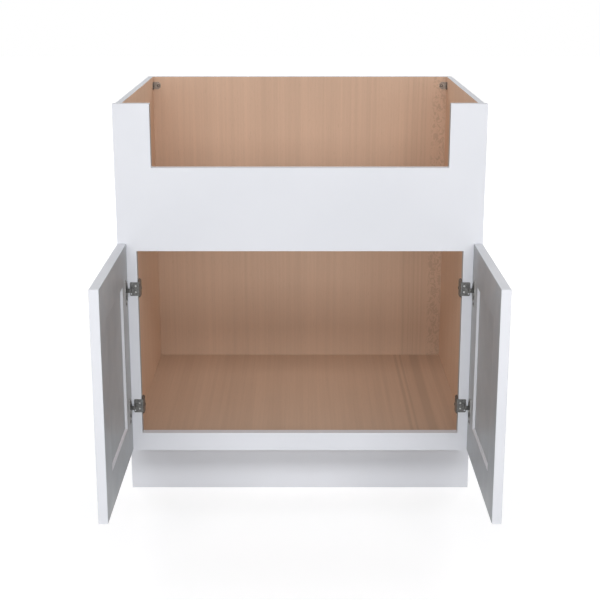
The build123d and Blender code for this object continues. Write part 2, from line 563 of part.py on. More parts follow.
def door_panel():
    """Flat centre panel, its edges in the groove."""
    reach = DOOR_GROOVE_DEPTH - DOOR_JOINT_CLEARANCE
    return block((MEMBER_INNER_LOW - reach, MEMBER_INNER_HIGH + reach), (DOOR_PANEL_FRONT, DOOR_PANEL_BACK),
                 (DOOR_BOTTOM + DOOR_MEMBER_WIDTH - reach, DOOR_TOP - DOOR_MEMBER_WIDTH + reach))


def opened(shape):
    """The right-hand door's piece, turned about the hinge pins to where the door stands."""
    return shape.rotate(PIN_AXIS, OPENING_ANGLE)


# ---- nodes ----
def add_pair(nodes, name, shape):
    """One piece for each side of the cabinet."""
    nodes["right_" + name] = [shape]
    nodes["left_" + name] = [mirrored(shape)]


def cabinet_nodes():
    """The fixed pieces, hinges' cabinet side included."""
    nodes = {"apron_board": [apron_board()], "bottom_rail": [bottom_rail()], "frame_dowels": frame_dowels(),
             "back_panel": [back_panel()], "floor_panel": [floor_panel()],
             "toe_kick_board": [toe_kick_board()], "toe_kick_cover": [toe_kick_cover()],
             "corner_bracket_screws": corner_bracket_screws()}
    add_pair(nodes, "stile", stile())
    add_pair(nodes, "side_panel", side_panel())
    add_pair(nodes, "corner_bracket", corner_bracket())
    for level, height in HINGE_HEIGHTS.items():
        add_pair(nodes, level + "_hinge_plate", hinge_plate(height))
        add_pair(nodes, level + "_hinge_edge_block", hinge_edge_block(height))
        add_pair(nodes, level + "_hinge_arm", hinge_arm(height))
        for name, fixings in hinge_fixings(height).items():
            nodes.setdefault(name, []).extend(fixings + [mirrored(fixing) for fixing in fixings])
    return nodes


def door_nodes():
    """Both doors with the hinges' cups, pins and screws."""
    nodes = {}
    for name, member in door_members().items():
        add_pair(nodes, "door_" + name, opened(member))
    add_pair(nodes, "door_panel", opened(door_panel()))
    for level, height in HINGE_HEIGHTS.items():
        add_pair(nodes, level + "_hinge_cup", opened(hinge_cup(height)))
        add_pair(nodes, level + "_hinge_pin", opened(hinge_pin(height)))
    screws = [opened(screw) for height in HINGE_HEIGHTS.values() for screw in cup_screws(height)]
    nodes["right_hinge_cup_screws"] = screws
    nodes["left_hinge_cup_screws"] = [mirrored(screw) for screw in screws]
    return nodes


def write_nodes(nodes):
    """One STEP file for each node."""
    os.makedirs("parts", exist_ok=True)
    for name, shapes in nodes.items():
        solids = [solid for shape in shapes for solid in shape.solids()]
        whole = solids[0] if len(solids) == 1 else Compound(children=solids)
        export_step(whole, f"parts/{name}.step")


write_nodes(cabinet_nodes() | door_nodes())
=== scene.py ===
"""Looks of a sink base cabinet: painted face frame and doors, printed box panels, plated hinges.

Every length is in metres in the cabinet's own frame: the origin is at the rear bottom centre,
+X is to the right as seen from the front, +Y goes into the wall and +Z is up.
"""

import logging
import math
from collections.abc import Callable, Sequence
from dataclasses import dataclass
from enum import Enum

import bmesh
import bpy
from mathutils import Matrix, Vector


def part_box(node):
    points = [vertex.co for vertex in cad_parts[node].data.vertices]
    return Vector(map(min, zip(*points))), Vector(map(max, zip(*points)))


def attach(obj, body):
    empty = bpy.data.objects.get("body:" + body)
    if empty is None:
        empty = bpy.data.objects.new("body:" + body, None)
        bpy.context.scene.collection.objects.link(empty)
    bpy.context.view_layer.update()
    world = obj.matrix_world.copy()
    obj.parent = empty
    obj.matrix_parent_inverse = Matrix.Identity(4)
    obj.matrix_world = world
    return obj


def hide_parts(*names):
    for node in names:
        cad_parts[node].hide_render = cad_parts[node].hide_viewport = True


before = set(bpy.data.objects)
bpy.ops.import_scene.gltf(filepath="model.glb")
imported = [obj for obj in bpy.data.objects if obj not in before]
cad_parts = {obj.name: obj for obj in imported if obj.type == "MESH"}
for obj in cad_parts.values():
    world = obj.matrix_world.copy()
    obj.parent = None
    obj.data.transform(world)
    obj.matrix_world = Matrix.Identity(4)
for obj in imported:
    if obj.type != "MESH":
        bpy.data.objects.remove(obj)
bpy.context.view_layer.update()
LOG = logging.getLogger("sink_base_cabinet")
Mesh = bmesh.types.BMesh
Edge = bmesh.types.BMEdge
EdgeTest = Callable[[Edge], bool]
Socket = bpy.types.NodeSocket
Material = bpy.types.Material
Pair = tuple[float, float]
Triple = tuple[float, float, float]
Colour = tuple[float, float, float, float]
Planes = tuple[tuple[str, float], ...]  # the letter of each plane's axis and its place on it
MM = 0.001
BRACKET_METAL = 1.5 * MM          # the corner brackets' sheet
NOTCH_HALF_WIDTH = 305.8 * MM     # from the middle to the side of the sink's cut-out
SHARP_ANGLE = math.radians(40)    # only an edge sharper than this is rounded
SHADING_ANGLE = math.radians(50)  # an edge sharper than this keeps its crease when shaded
FACES_IT = 0.99                   # least cosine for a face to count as facing a direction
RUNS_WITH = 0.999                 # least cosine for an edge to count as following an axis
SPIN_MERGE = 1e-7                 # points nearer than this become one after a spin
NODE_MERGE = 1e-6                 # the same for the loose triangles of a node


class Side(Enum):
    """The cabinet's two halves, by the sign of X."""

    LEFT = -1
    RIGHT = 1

    @property
    def word(self) -> str:
        """The side's name as the nodes spell it."""
        return self.name.lower()


class Level(Enum):
    """The two hinges of a door."""

    UPPER = "upper"
    LOWER = "lower"


class Slot(Enum):
    """The record's material slots."""

    PAINT = "white_paint"
    HINGE = "hinge_steel"
    BLOCK = "hinge_block"
    BRACKET = "bracket_steel"
    BRIGHT = "bright_screw"


class Grain(Enum):
    """Which way the printed grain runs: (axis across the grain, axis along it)."""

    BACK_WALL = ("X", "Z")
    FLOOR = ("X", "Y")
    SIDE_WALL = ("Y", "Z")


# ---- shader building ----
SHARE = (0.0, 1.0)       # none to all of something
NOISE_SPAN = (0.3, 0.7)  # where nearly all values of a noise texture lie
MIX_INPUTS = (0, 6, 7)   # the Mix node's factor and its two colours
MIX_RESULT = 2           # the Mix node's mixed colour


class Graph:
    """A material's node tree, with short ways to add the nodes that the finishes share."""

    def __init__(self, name: str) -> None:
        """Starts an empty tree with an output and a Principled shader.

        Args:
            name: The material's name.
        """
        self.material = bpy.data.materials.new(name)
        self.material.use_nodes = True
        self.tree = self.material.node_tree
        self.tree.nodes.clear()
        output = self.tree.nodes.new("ShaderNodeOutputMaterial")
        self.shader = self.tree.nodes.new("ShaderNodeBsdfPrincipled")
        self.tree.links.new(self.shader.outputs["BSDF"], output.inputs["Surface"])
        place = self.tree.nodes.new("ShaderNodeTexCoord")
        split = self.tree.nodes.new("ShaderNodeSeparateXYZ")
        self.place = place.outputs["Object"]
        self.tree.links.new(self.place, split.inputs["Vector"])
        self.axes = {letter: split.outputs[letter] for letter in "XYZ"}

    def feed(self, socket: Socket, value: object) -> None:
        """Links a socket to another one, or sets its value.

        Args:
            socket: The input to fill.
            value: The output that feeds it, or a plain value.
        """
        if isinstance(value, Socket):
            self.tree.links.new(value, socket)
        else:
            socket.default_value = value

    def math(self, operation: str, *values: object) -> Socket:
        """One Math node.

        Args:
            operation: Blender's name of the operation.
            values: Numbers or sockets, in the node's order.

        Returns:
            The result's socket.
        """
        node = self.tree.nodes.new("ShaderNodeMath")
        node.operation = operation
        for socket, value in zip(node.inputs, values):
            self.feed(socket, value)
        return node.outputs["Value"]

    def remap(self, value: object, old: Pair, new: Pair) -> Socket:
        """Maps one range smoothly onto another and clamps it.

        Args:
            value: The socket to map.
            old: The range that comes in.
            new: The range that goes out.

        Returns:
            The mapped value's socket.
        """
        node = self.tree.nodes.new("ShaderNodeMapRange")
        node.interpolation_type = "SMOOTHSTEP"
        ends = zip(("From Min", "From Max", "To Min", "To Max"), (*old, *new))
        for name, number in ends:
            node.inputs[name].default_value = number
        self.feed(node.inputs["Value"], value)
        return node.outputs["Result"]

    def mix(self, factor: object, first: object, second: object) -> Socket:
        """Mixes two colours.

        Args:
            factor: Number or socket, 0 for the first colour.
            first: Colour or socket.
            second: Colour or socket.

        Returns:
            The mixed colour's socket.
        """
        node = self.tree.nodes.new("ShaderNodeMix")
        node.data_type = "RGBA"
        node.clamp_factor = True
        for index, value in zip(MIX_INPUTS, (factor, first, second)):
            self.feed(node.inputs[index], value)
        return node.outputs[MIX_RESULT]

    def noise(self, vector: object, scale: float = 1.0, detail: float = 2.0,
              distortion: float = 0.0, roughness: float = 0.5) -> Socket:
        """A noise texture's value, about 0.5 on average.

        Args:
            vector: The coordinates that it is laid on.
            scale: How many blotches go in one unit of the coordinates.
            detail: How many finer layers are added.
            distortion: How far the blotches are curled.
            roughness: How strong the finer layers are.

        Returns:
            The value's socket.
        """
        node = self.tree.nodes.new("ShaderNodeTexNoise")
        node.inputs["Scale"].default_value = scale
        node.inputs["Detail"].default_value = detail
        node.inputs["Distortion"].default_value = distortion
        node.inputs["Roughness"].default_value = roughness
        self.feed(node.inputs["Vector"], vector)
        return node.outputs["Fac"]

    def stretched(self, scales: dict[str, float], shift: float = 0.0) -> Socket:
        """Object coordinates scaled axis by axis.

        Args:
            scales: The scale of each axis used; an axis left out holds the shift instead.
            shift: Places one pattern apart from another.

        Returns:
            The vector's socket.
        """
        node = self.tree.nodes.new("ShaderNodeCombineXYZ")
        for letter in "XYZ":
            if letter in scales:
                scaled = self.math("MULTIPLY_ADD", self.axes[letter], scales[letter], shift)
                self.feed(node.inputs[letter], scaled)
            else:
                node.inputs[letter].default_value = shift
        return node.outputs["Vector"]

    def near(self, letter: str, value: float, reach: float) -> Socket:
        """1 on the surface where one coordinate has a value, 0 elsewhere."""
        return self.math("COMPARE", self.axes[letter], value, reach)

    def on_any(self, planes: Planes, reach: float) -> Socket:
        """1 on the surface that lies in any of some planes, 0 elsewhere.

        Args:
            planes: The planes.
            reach: How far from a plane still counts as on it.

        Returns:
            The test's socket.
        """
        found = self.near(*planes[0], reach)
        for plane in planes[1:]:
            found = self.math("MAXIMUM", found, self.near(*plane, reach))
        return found

    def along_grain(self, grain: Grain, scales: Pair, shift: float) -> Socket:
        """Object coordinates scaled across and along a grain, shifted apart from others."""
        across, along_it = grain.value
        return self.stretched({across: scales[0], along_it: scales[1]}, shift)

    def finished(self, colour: object, roughness: object, relief: object, strength: float,
                 depth: float) -> Material:
        """Gives the shader its colour, its roughness and a fine relief.

        Args:
            colour: Colour or socket.
            roughness: Number or socket.
            relief: The socket of the relief's height.
            strength: How strongly the relief tilts the surface, 0 to 1.
            depth: How deep a height of 1 is.

        Returns:
            The material.
        """
        self.feed(self.shader.inputs["Base Color"], colour)
        self.feed(self.shader.inputs["Roughness"], roughness)
        node = self.tree.nodes.new("ShaderNodeBump")
        node.inputs["Strength"].default_value = strength
        node.inputs["Distance"].default_value = depth
        self.feed(node.inputs["Height"], relief)
        self.feed(self.shader.inputs["Normal"], node.outputs["Normal"])
        return self.material


MEMBER_SHADE: Colour = (0.447, 0.473, 0.495, 1.0)  # painted shade on the backs of a door's members and on the face frame's inner edges
PANEL_SHADE: Colour = (0.426, 0.452, 0.472, 1.0)   # painted shade on the back of a door's panel, a little deeper than on the members


@dataclass(frozen=True)
class PaintFinish:
    """Sprayed satin paint: even, with a faint orange peel and a little drift in tone."""

    name: str
    colour: Colour = (0.815, 0.828, 0.872, 1.0)
    drift_colour: Colour = (0.800, 0.814, 0.859, 1.0)
    drift_scale: float = 5.0
    drift_span: Pair = (0.35, 0.65)
    roughness: Pair = (0.36, 0.46)
    gloss_scale: float = 20.0
    peel_scale: float = 420.0
    peel_height: float = 0.03 * MM
    peel_strength: float = 0.35
    shine: float = 0.25
    # painted shade: a darker, greyer colour on these planes, which lie in shade
    shade_reach: float = 0.45 * MM
    shaded_planes: Planes = ()
    shade_coat: Colour = MEMBER_SHADE

    def drift(self, graph: Graph) -> Socket:
        """The paint's colour with its slow change in tone, and painted shade on the chosen planes.

        Args:
            graph: The material's nodes.

        Returns:
            The colour's socket.
        """
        cloud = graph.noise(graph.place, self.drift_scale, detail=3.0)
        patch = graph.remap(cloud, self.drift_span, SHARE)
        coat = graph.mix(patch, self.colour, self.drift_colour)
        if not self.shaded_planes:
            return coat
        in_shade = graph.on_any(self.shaded_planes, self.shade_reach)
        return graph.mix(in_shade, coat, self.shade_coat)

    def material(self) -> Material:
        """Makes the finish.

        Returns:
            The new material.
        """
        graph = Graph(self.name)
        peel = graph.noise(graph.place, self.peel_scale, roughness=0.4)
        gloss = graph.noise(graph.place, self.gloss_scale, detail=4.0)
        roughness = graph.remap(gloss, NOISE_SPAN, self.roughness)
        graph.shader.inputs["Specular IOR Level"].default_value = self.shine
        return graph.finished(self.drift(graph), roughness, peel, self.peel_strength,
                              self.peel_height)


@dataclass(frozen=True)
class DarkStreak:
    """One darker stripe of the print: its place across the grain, half its width and its depth."""

    place: float
    half_width: float
    depth: float


@dataclass(frozen=True)
class GrainLayer:
    """One fineness of the grain: its scales across and along, its shift and its weight."""

    across: float
    along: float
    shift: float
    weight: float


@dataclass(frozen=True)
class WoodPrint:
    """Light-brown printed grain: broad bands, streaks, fibres, pores and a figured strip."""

    grain: Grain
    dark: Colour = (0.562, 0.385, 0.277, 1.0)
    light: Colour = (0.753, 0.517, 0.373, 1.0)
    pore: Colour = (0.410, 0.266, 0.184, 1.0)
    # painted shade low in the cabinet: each channel's share kept, and the heights it fades over
    low_shade_share: Triple = (0.92, 0.955, 0.98)
    low_shade_zone: Pair = (0.48, 0.72)
    layers: tuple[GrainLayer, ...] = (
        GrainLayer(6.0, 0.2, 3.1, 0.50),
        GrainLayer(24.0, 0.5, 8.3, 0.36),
        GrainLayer(95.0, 1.1, 7.7, 0.46),
        GrainLayer(230.0, 2.4, 1.3, 0.40),
        GrainLayer(900.0, 20.0, 5.9, 0.22))
    streaks: tuple[DarkStreak, ...] = ()
    stripe_core: float = 0.2
    wander: float = 0.006
    sway_scale: float = 1.6
    sway_shift: float = 6.4
    figure_middle: float = 0.347
    figure_half_width: float = 0.022
    figure_core: float = 0.5
    figure_depth: float = 0.60
    curl_scales: Pair = (105.0, 80.0)
    curl_shift: float = 0.4
    curl_distortion: float = 1.4
    curl_span: Pair = (0.46, 0.60)
    pore_scales: Pair = (1300.0, 60.0)
    pore_shift: float = 4.2
    pore_span: Pair = (0.64, 0.76)
    pore_depth: float = 0.35

    def tone(self, graph: Graph) -> Socket:
        """How light the print is at each point: about 0.5 on average.

        Args:
            graph: The material's nodes.

        Returns:
            The tone's socket.
        """
        average = 0.5
        total = average
        for layer in self.layers:
            scales = (layer.across, layer.along)
            value = graph.noise(graph.along_grain(self.grain, scales, layer.shift))
            part = graph.math("MULTIPLY_ADD", value, layer.weight, -average * layer.weight)
            total = graph.math("ADD", total, part)
        total = graph.math("SUBTRACT", total, self.figure(graph))
        for streak in self.streaks:
            total = graph.math("SUBTRACT", total, self.stripe(graph, streak))
        return total

    def off_line(self, graph: Graph, line: float) -> Socket:
        """How far each point is from a growth line, which wanders slowly from side to side.

        Args:
            graph: The material's nodes.
            line: The line's mean place across the grain.

        Returns:
            The distance's socket.
        """
        across, lengthwise = self.grain.value
        sway = graph.noise(graph.stretched({lengthwise: self.sway_scale}, self.sway_shift))
        shift = graph.math("MULTIPLY_ADD", sway, 2.0 * self.wander, -self.wander)
        drifting = graph.math("ADD", graph.axes[across], shift)
        return graph.math("ABSOLUTE", graph.math("SUBTRACT", drifting, line))

    def stripe(self, graph: Graph, streak: DarkStreak) -> Socket:
        """How much one dark streak takes off the tone.

        Args:
            graph: The material's nodes.
            streak: The streak.

        Returns:
            The loss's socket.
        """
        off = self.off_line(graph, streak.place)
        fade = (self.stripe_core * streak.half_width, streak.half_width)
        return graph.remap(off, fade, (streak.depth, 0.0))

    def figure(self, graph: Graph) -> Socket:
        """How much the curly blotches take off the tone, stacked along one strip of the board.

        Args:
            graph: The material's nodes.

        Returns:
            The loss's socket.
        """
        off = self.off_line(graph, self.figure_middle)
        fade = (self.figure_core * self.figure_half_width, self.figure_half_width)
        strip = graph.remap(off, fade, (1.0, 0.0))
        place = graph.along_grain(self.grain, self.curl_scales, self.curl_shift)
        curl = graph.noise(place, distortion=self.curl_distortion)
        blotch = graph.remap(curl, self.curl_span, (0.0, self.figure_depth))
        return graph.math("MULTIPLY", blotch, strip)

    def in_low_shade(self, colour: Colour) -> Colour:
        """A colour of the print, a little darker and greyer: painted shade low in the cabinet."""
        return (*(part * share for part, share in zip(colour, self.low_shade_share)), 1.0)

    def colour(self, graph: Graph, tone: Socket) -> Socket:
        """The print's colour for a tone, with its dark pores and painted shade low in the cabinet.

        Args:
            graph: The material's nodes.
            tone: How light the print is.

        Returns:
            The colour's socket.
        """
        ground = graph.mix(tone, self.dark, self.light)
        low_shade_ground = graph.mix(tone, self.in_low_shade(self.dark), self.in_low_shade(self.light))
        # painted shade: the print darkens and greys towards the bottom of the cabinet
        height = graph.remap(graph.axes["Z"], self.low_shade_zone, (1.0, 0.0))
        ground = graph.mix(height, ground, low_shade_ground)
        place = graph.along_grain(self.grain, self.pore_scales, self.pore_shift)
        ticks = graph.noise(place, detail=1.0)
        pores = graph.remap(ticks, self.pore_span, (0.0, self.pore_depth))
        return graph.mix(pores, ground, self.pore)


@dataclass(frozen=True)
class BareWood:
    """Unprinted board: pale veneer on the hidden face, and glued plies on the cut edges."""

    across_plies: str
    grain: Grain
    veneer_light: Colour = (0.660, 0.500, 0.330, 1.0)
    veneer_dark: Colour = (0.500, 0.350, 0.210, 1.0)
    ply_light: Colour = (0.560, 0.400, 0.252, 1.0)
    ply_dark: Colour = (0.270, 0.170, 0.098, 1.0)
    plies: float = 5.0
    thickness: float = 12.7 * MM
    ring_scales: Pair = (9.0, 1.4)
    ring_shift: float = 2.2
    ring_distortion: float = 0.8
    ring_turns: float = 60.0
    ring_depth: float = 0.16
    fibre_scales: Pair = (700.0, 14.0)
    fibre_shift: float = 6.6
    veneer_span: Pair = (0.25, 0.80)
    waver_scale: float = 60.0
    waver_depth: float = 1.4
    speck_scale: float = 700.0
    speck_depth: float = 1.2
    ply_span: Pair = (-0.9, 0.9)

    def veneer(self, graph: Graph) -> Socket:
        """The rotary-cut face: wide wavering growth rings and fine fibres.

        Args:
            graph: The material's nodes.

        Returns:
            The colour's socket.
        """
        ring_place = graph.along_grain(self.grain, self.ring_scales, self.ring_shift)
        fibre_place = graph.along_grain(self.grain, self.fibre_scales, self.fibre_shift)
        rings = graph.noise(ring_place, detail=1.0, distortion=self.ring_distortion)
        wave = graph.math("SINE", graph.math("MULTIPLY", rings, self.ring_turns))
        fibres = graph.noise(fibre_place, detail=3.0)
        mixed = graph.math("MULTIPLY_ADD", wave, self.ring_depth, fibres)
        share = graph.remap(mixed, self.veneer_span, SHARE)
        return graph.mix(share, self.veneer_dark, self.veneer_light)

    def cut_edge(self, graph: Graph) -> Socket:
        """The layers that show on a cut edge.

        Args:
            graph: The material's nodes.

        Returns:
            The colour's socket.
        """
        turns = math.pi * self.plies / self.thickness
        cloud = graph.noise(graph.place, self.waver_scale)
        waver = graph.math("MULTIPLY", cloud, self.waver_depth)
        across = graph.axes[self.across_plies]
        wave = graph.math("SINE", graph.math("MULTIPLY_ADD", across, turns, waver))
        speck = graph.noise(graph.place, self.speck_scale, detail=3.0)
        uneven = graph.math("SUBTRACT", speck, 0.5)
        fine = graph.math("MULTIPLY_ADD", uneven, self.speck_depth, wave)
        share = graph.remap(fine, self.ply_span, SHARE)
        return graph.mix(share, self.ply_dark, self.ply_light)


# the side walls' print, lighter than the back wall's: painted light on the side walls
SIDE_LIT_DARK: Colour = (0.711, 0.496, 0.359, 1.0)
SIDE_LIT_LIGHT: Colour = (0.896, 0.636, 0.466, 1.0)
BACK_STREAKS = (
    DarkStreak(0.268, 0.004, 0.22),
    DarkStreak(0.281, 0.003, 0.20),
    DarkStreak(0.294, 0.003, 0.24),
    DarkStreak(0.305, 0.004, 0.22),
    DarkStreak(0.314, 0.003, 0.20))
FLOOR_STREAKS = (
    DarkStreak(0.249, 0.006, 0.50),
    DarkStreak(0.262, 0.004, 0.40),
    DarkStreak(0.296, 0.017, 0.60),
    DarkStreak(0.338, 0.010, 0.22))


@dataclass(frozen=True)
class BoardFinish:
    """A box panel: print, bare veneer or white on some planes, and bare plies on the others."""

    name: str
    print_on: Planes
    veneer_on: Planes
    white_on: Planes
    print_look: WoodPrint
    bare: BareWood
    paint: PaintFinish
    reach: float = 0.45 * MM
    shine: float = 0.3
    tone_span: Pair = (0.1, 0.9)
    roughness: Pair = (0.56, 0.44)
    relief: float = 0.05 * MM
    relief_strength: float = 0.25

    def material(self) -> Material:
        """Makes the finish.

        Returns:
            The new material.
        """
        graph = Graph(self.name)
        tone = self.print_look.tone(graph)
        colour = self.bare.cut_edge(graph)
        coats = ((self.veneer_on, self.bare.veneer),
                 (self.print_on, lambda nodes: self.print_look.colour(nodes, tone)),
                 (self.white_on, self.paint.drift))
        for planes, look in coats:
            if planes:
                colour = graph.mix(graph.on_any(planes, self.reach), colour, look(graph))
        roughness = graph.remap(tone, self.tone_span, self.roughness)
        graph.shader.inputs["Specular IOR Level"].default_value = self.shine
        return graph.finished(colour, roughness, tone, self.relief_strength, self.relief)


@dataclass(frozen=True)
class MetalFinish:
    """Plated steel with a fine cloudy tone, faint rubbing marks and painted shade where asked."""

    name: str
    colour: Colour
    dull_colour: Colour
    roughness: Pair
    cloud_scale: float = 260.0
    cloud_span: Pair = (0.36, 0.64)
    rub_scale: float = 2600.0
    rub_upright_scale: float = 140.0
    relief: float = 0.012 * MM
    relief_strength: float = 0.4
    metallic: float = 1.0
    # painted shade: a dark colour on one plane, or on X past a place, where a part lies in shade
    shade_plane: tuple[str, float] | None = None
    shade_colour: Colour = (0.090, 0.077, 0.068, 1.0)
    plane_reach: float = 0.1 * MM
    shade_beyond: float | None = None

    def material(self) -> Material:
        """Makes the finish.

        Returns:
            The new material.
        """
        graph = Graph(self.name)
        cloud = graph.noise(graph.place, self.cloud_scale, detail=3.0)
        patch = graph.remap(cloud, self.cloud_span, SHARE)
        rub_scales = {"X": self.rub_scale, "Y": self.rub_scale, "Z": self.rub_upright_scale}
        rubbed = graph.noise(graph.stretched(rub_scales))
        colour = graph.mix(patch, self.colour, self.dull_colour)
        if self.shade_plane:
            on_plane = graph.near(*self.shade_plane, self.plane_reach)
            colour = graph.mix(on_plane, colour, self.shade_colour)
        if self.shade_beyond:
            off_middle = graph.math("ABSOLUTE", graph.axes["X"])
            outside = graph.math("GREATER_THAN", off_middle, self.shade_beyond)
            colour = graph.mix(outside, colour, self.shade_colour)
        roughness = graph.remap(rubbed, NOISE_SPAN, self.roughness)
        relief = graph.math("ADD", cloud, rubbed)
        graph.shader.inputs["Metallic"].default_value = self.metallic
        return graph.finished(colour, roughness, relief, self.relief_strength, self.relief)


@dataclass(frozen=True)
class BeechFinish:
    """Bare close-grained wood of the hidden dowels."""

    name: str
    light: Colour = (0.640, 0.470, 0.300, 1.0)
    dark: Colour = (0.470, 0.320, 0.190, 1.0)
    across_scale: float = 900.0
    along_scale: float = 40.0
    roughness: float = 0.7
    relief: float = 0.05 * MM
    relief_strength: float = 0.4

    def material(self) -> Material:
        """Makes the finish.

        Returns:
            The new material.
        """
        graph = Graph(self.name)
        scales = {"X": self.along_scale, "Y": self.across_scale, "Z": self.across_scale}
        fibres = graph.noise(graph.stretched(scales), detail=3.0)
        colour = graph.mix(graph.remap(fibres, NOISE_SPAN, SHARE), self.light, self.dark)
        return graph.finished(colour, self.roughness, fibres, self.relief_strength, self.relief)


# ---- mesh building ----
CHAMFER, SOFT, ROUND, FULL = 1, 2, 3, 4  # how many facets an eased edge gets


def box_mesh(low: Sequence[float], high: Sequence[float]) -> Mesh:
    """A box between two corners.

    Args:
        low: The corner with the lowest coordinates.
        high: The corner with the highest coordinates.

    Returns:
        The closed box.
    """
    mesh = bmesh.new()
    bmesh.ops.create_cube(mesh, size=1.0)
    bmesh.ops.scale(mesh, vec=Vector(high) - Vector(low), verts=mesh.verts)
    bmesh.ops.translate(mesh, vec=(Vector(low) + Vector(high)) / 2, verts=mesh.verts)
    return mesh


def along(letter: str, length: float) -> Vector:
    """A vector of some length along one axis."""
    return Vector(length if axis == letter else 0.0 for axis in "XYZ")


def box_round(points: Sequence[Vector]) -> tuple[Vector, Vector]:
    """The lowest and the highest corner of the box round some points."""
    axes = list(zip(*points))
    return Vector(map(min, axes)), Vector(map(max, axes))


def push_out(mesh: Mesh, faces: Sequence[bmesh.types.BMFace], depth: Sequence[float]) -> None:
    """Makes a solid of some flat faces, its faces outwards.

    Args:
        mesh: The mesh, which holds only these faces.
        faces: The faces.
        depth: How far and which way they are pushed.
    """
    pushed = bmesh.ops.extrude_face_region(mesh, geom=faces, use_keep_orig=True)
    moved = [item for item in pushed["geom"] if isinstance(item, bmesh.types.BMVert)]
    bmesh.ops.translate(mesh, vec=depth, verts=moved)
    bmesh.ops.recalc_face_normals(mesh, faces=mesh.faces)


def extruded(outline: Sequence[Sequence[float]], depth: Sequence[float]) -> Mesh:
    """A flat outline pushed out into a solid.

    Args:
        outline: The corners in order, in one plane.
        depth: How far and which way the outline is pushed.

    Returns:
        The closed solid, its faces outwards.
    """
    mesh = bmesh.new()
    start = mesh.faces.new([mesh.verts.new(corner) for corner in outline])
    push_out(mesh, [start], depth)
    return mesh


def closed_wire(mesh: Mesh, points: Sequence[Sequence[float]]) -> list[Edge]:
    """Adds a closed loop of edges through some points, and gives the edges back."""
    corners = [mesh.verts.new(point) for point in points]
    return [mesh.edges.new(pair) for pair in zip(corners, corners[1:] + corners[:1])]


def turned(profile: Sequence[Pair], steps: int) -> Mesh:
    """A profile spun once round Z.

    Args:
        profile: Pairs of radius and height; a radius of 0 closes the shape at the axis.
        steps: How many facets go round.

    Returns:
        The closed shape, its faces outwards.
    """
    mesh = bmesh.new()
    corners = [mesh.verts.new((radius, 0.0, height)) for radius, height in profile]
    edges = [mesh.edges.new(pair) for pair in zip(corners, corners[1:])]
    bmesh.ops.spin(mesh, geom=corners + edges, cent=(0, 0, 0), axis=(0, 0, 1), angle=2 * math.pi,
                   steps=steps, use_merge=True)
    bmesh.ops.remove_doubles(mesh, verts=mesh.verts, dist=SPIN_MERGE)
    bmesh.ops.recalc_face_normals(mesh, faces=mesh.faces)
    return mesh


def ease(mesh: Mesh, width: float, segments: int, wanted: EdgeTest | None = None) -> None:
    """Rounds the sharp edges that a test picks, or every sharp one.

    Args:
        mesh: The mesh to change.
        width: The rounding's width.
        segments: How many facets the rounding has.
        wanted: The test; None takes every sharp edge.
    """
    def sharp(edge: Edge) -> bool:
        """Whether the edge's two faces turn by more than the sharp angle."""
        return len(edge.link_faces) == 2 and edge.calc_face_angle() > SHARP_ANGLE

    chosen = [edge for edge in mesh.edges if sharp(edge) and (wanted is None or wanted(edge))]
    bmesh.ops.bevel(mesh, geom=chosen, offset=width, segments=segments, affect="EDGES", profile=0.5,
                    material=-1, clamp_overlap=True)


def lies_at(letter: str, value: float, reach: float = 0.01 * MM) -> EdgeTest:
    """A test for edges whose both ends have one coordinate near a value."""
    index = "XYZ".index(letter)
    return lambda edge: all(abs(vert.co[index] - value) < reach for vert in edge.verts)


def runs_along(letter: str) -> EdgeTest:
    """A test for edges parallel to one axis."""
    index = "XYZ".index(letter)
    return lambda edge: abs((edge.verts[0].co - edge.verts[1].co).normalized()[index]) > RUNS_WITH


def joined(meshes: Sequence[Mesh]) -> Mesh:
    """Several meshes as one.

    Args:
        meshes: The meshes; they are used up.

    Returns:
        The joined mesh.
    """
    whole = bmesh.new()
    for mesh in meshes:
        store = bpy.data.meshes.new("store")
        mesh.to_mesh(store)
        whole.from_mesh(store)
        bpy.data.meshes.remove(store)
        mesh.free()
    return whole


def mirrored(mesh: Mesh, side: Side) -> Mesh:
    """A right-hand mesh, put on the given side.

    Args:
        mesh: The mesh; it is changed.
        side: The side that it goes on.

    Returns:
        The same mesh.
    """
    if side is Side.LEFT:
        bmesh.ops.scale(mesh, vec=(-1, 1, 1), verts=mesh.verts)
        bmesh.ops.reverse_faces(mesh, faces=mesh.faces)
    return mesh


@dataclass
class Piece:
    """What one visible piece is and where it belongs."""

    name: str
    body: str
    slot: Slot
    finish: Material
    stands_for: tuple[str, ...] = ()

    def place(self, mesh: Mesh) -> bpy.types.Object:
        """Turns a mesh into the piece, on its body and in its finish.

        Args:
            mesh: The finished shape in the cabinet's frame; it is used up.

        Returns:
            The new object.
        """
        data = bpy.data.meshes.new(self.name)
        mesh.to_mesh(data)
        mesh.free()
        data.shade_smooth()
        data.set_sharp_from_angle(angle=SHADING_ANGLE)
        data.materials.append(self.finish)
        piece = bpy.data.objects.new(self.name, data)
        bpy.context.scene.collection.objects.link(piece)
        flatten = piece.modifiers.new("even_shading", "WEIGHTED_NORMAL")
        flatten.keep_sharp = True
        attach(piece, self.body)
        if self.stands_for:
            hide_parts(*self.stands_for)
        LOG.info("%s: %d faces on %s", self.name, len(data.polygons), self.body)
        return piece


# ---- finishes ----
Metal = tuple[Colour, Colour, Pair]  # clean colour, dull colour and roughness
HINGE_PLATING: Metal = ((0.195, 0.195, 0.190, 1.0), (0.128, 0.128, 0.125, 1.0), (0.38, 0.54))
CUP_PLATING: Metal = ((0.400, 0.400, 0.394, 1.0), (0.300, 0.300, 0.295, 1.0), (0.36, 0.50))
PIN_STEEL: Metal = ((0.110, 0.110, 0.108, 1.0), (0.060, 0.060, 0.058, 1.0), (0.34, 0.50))
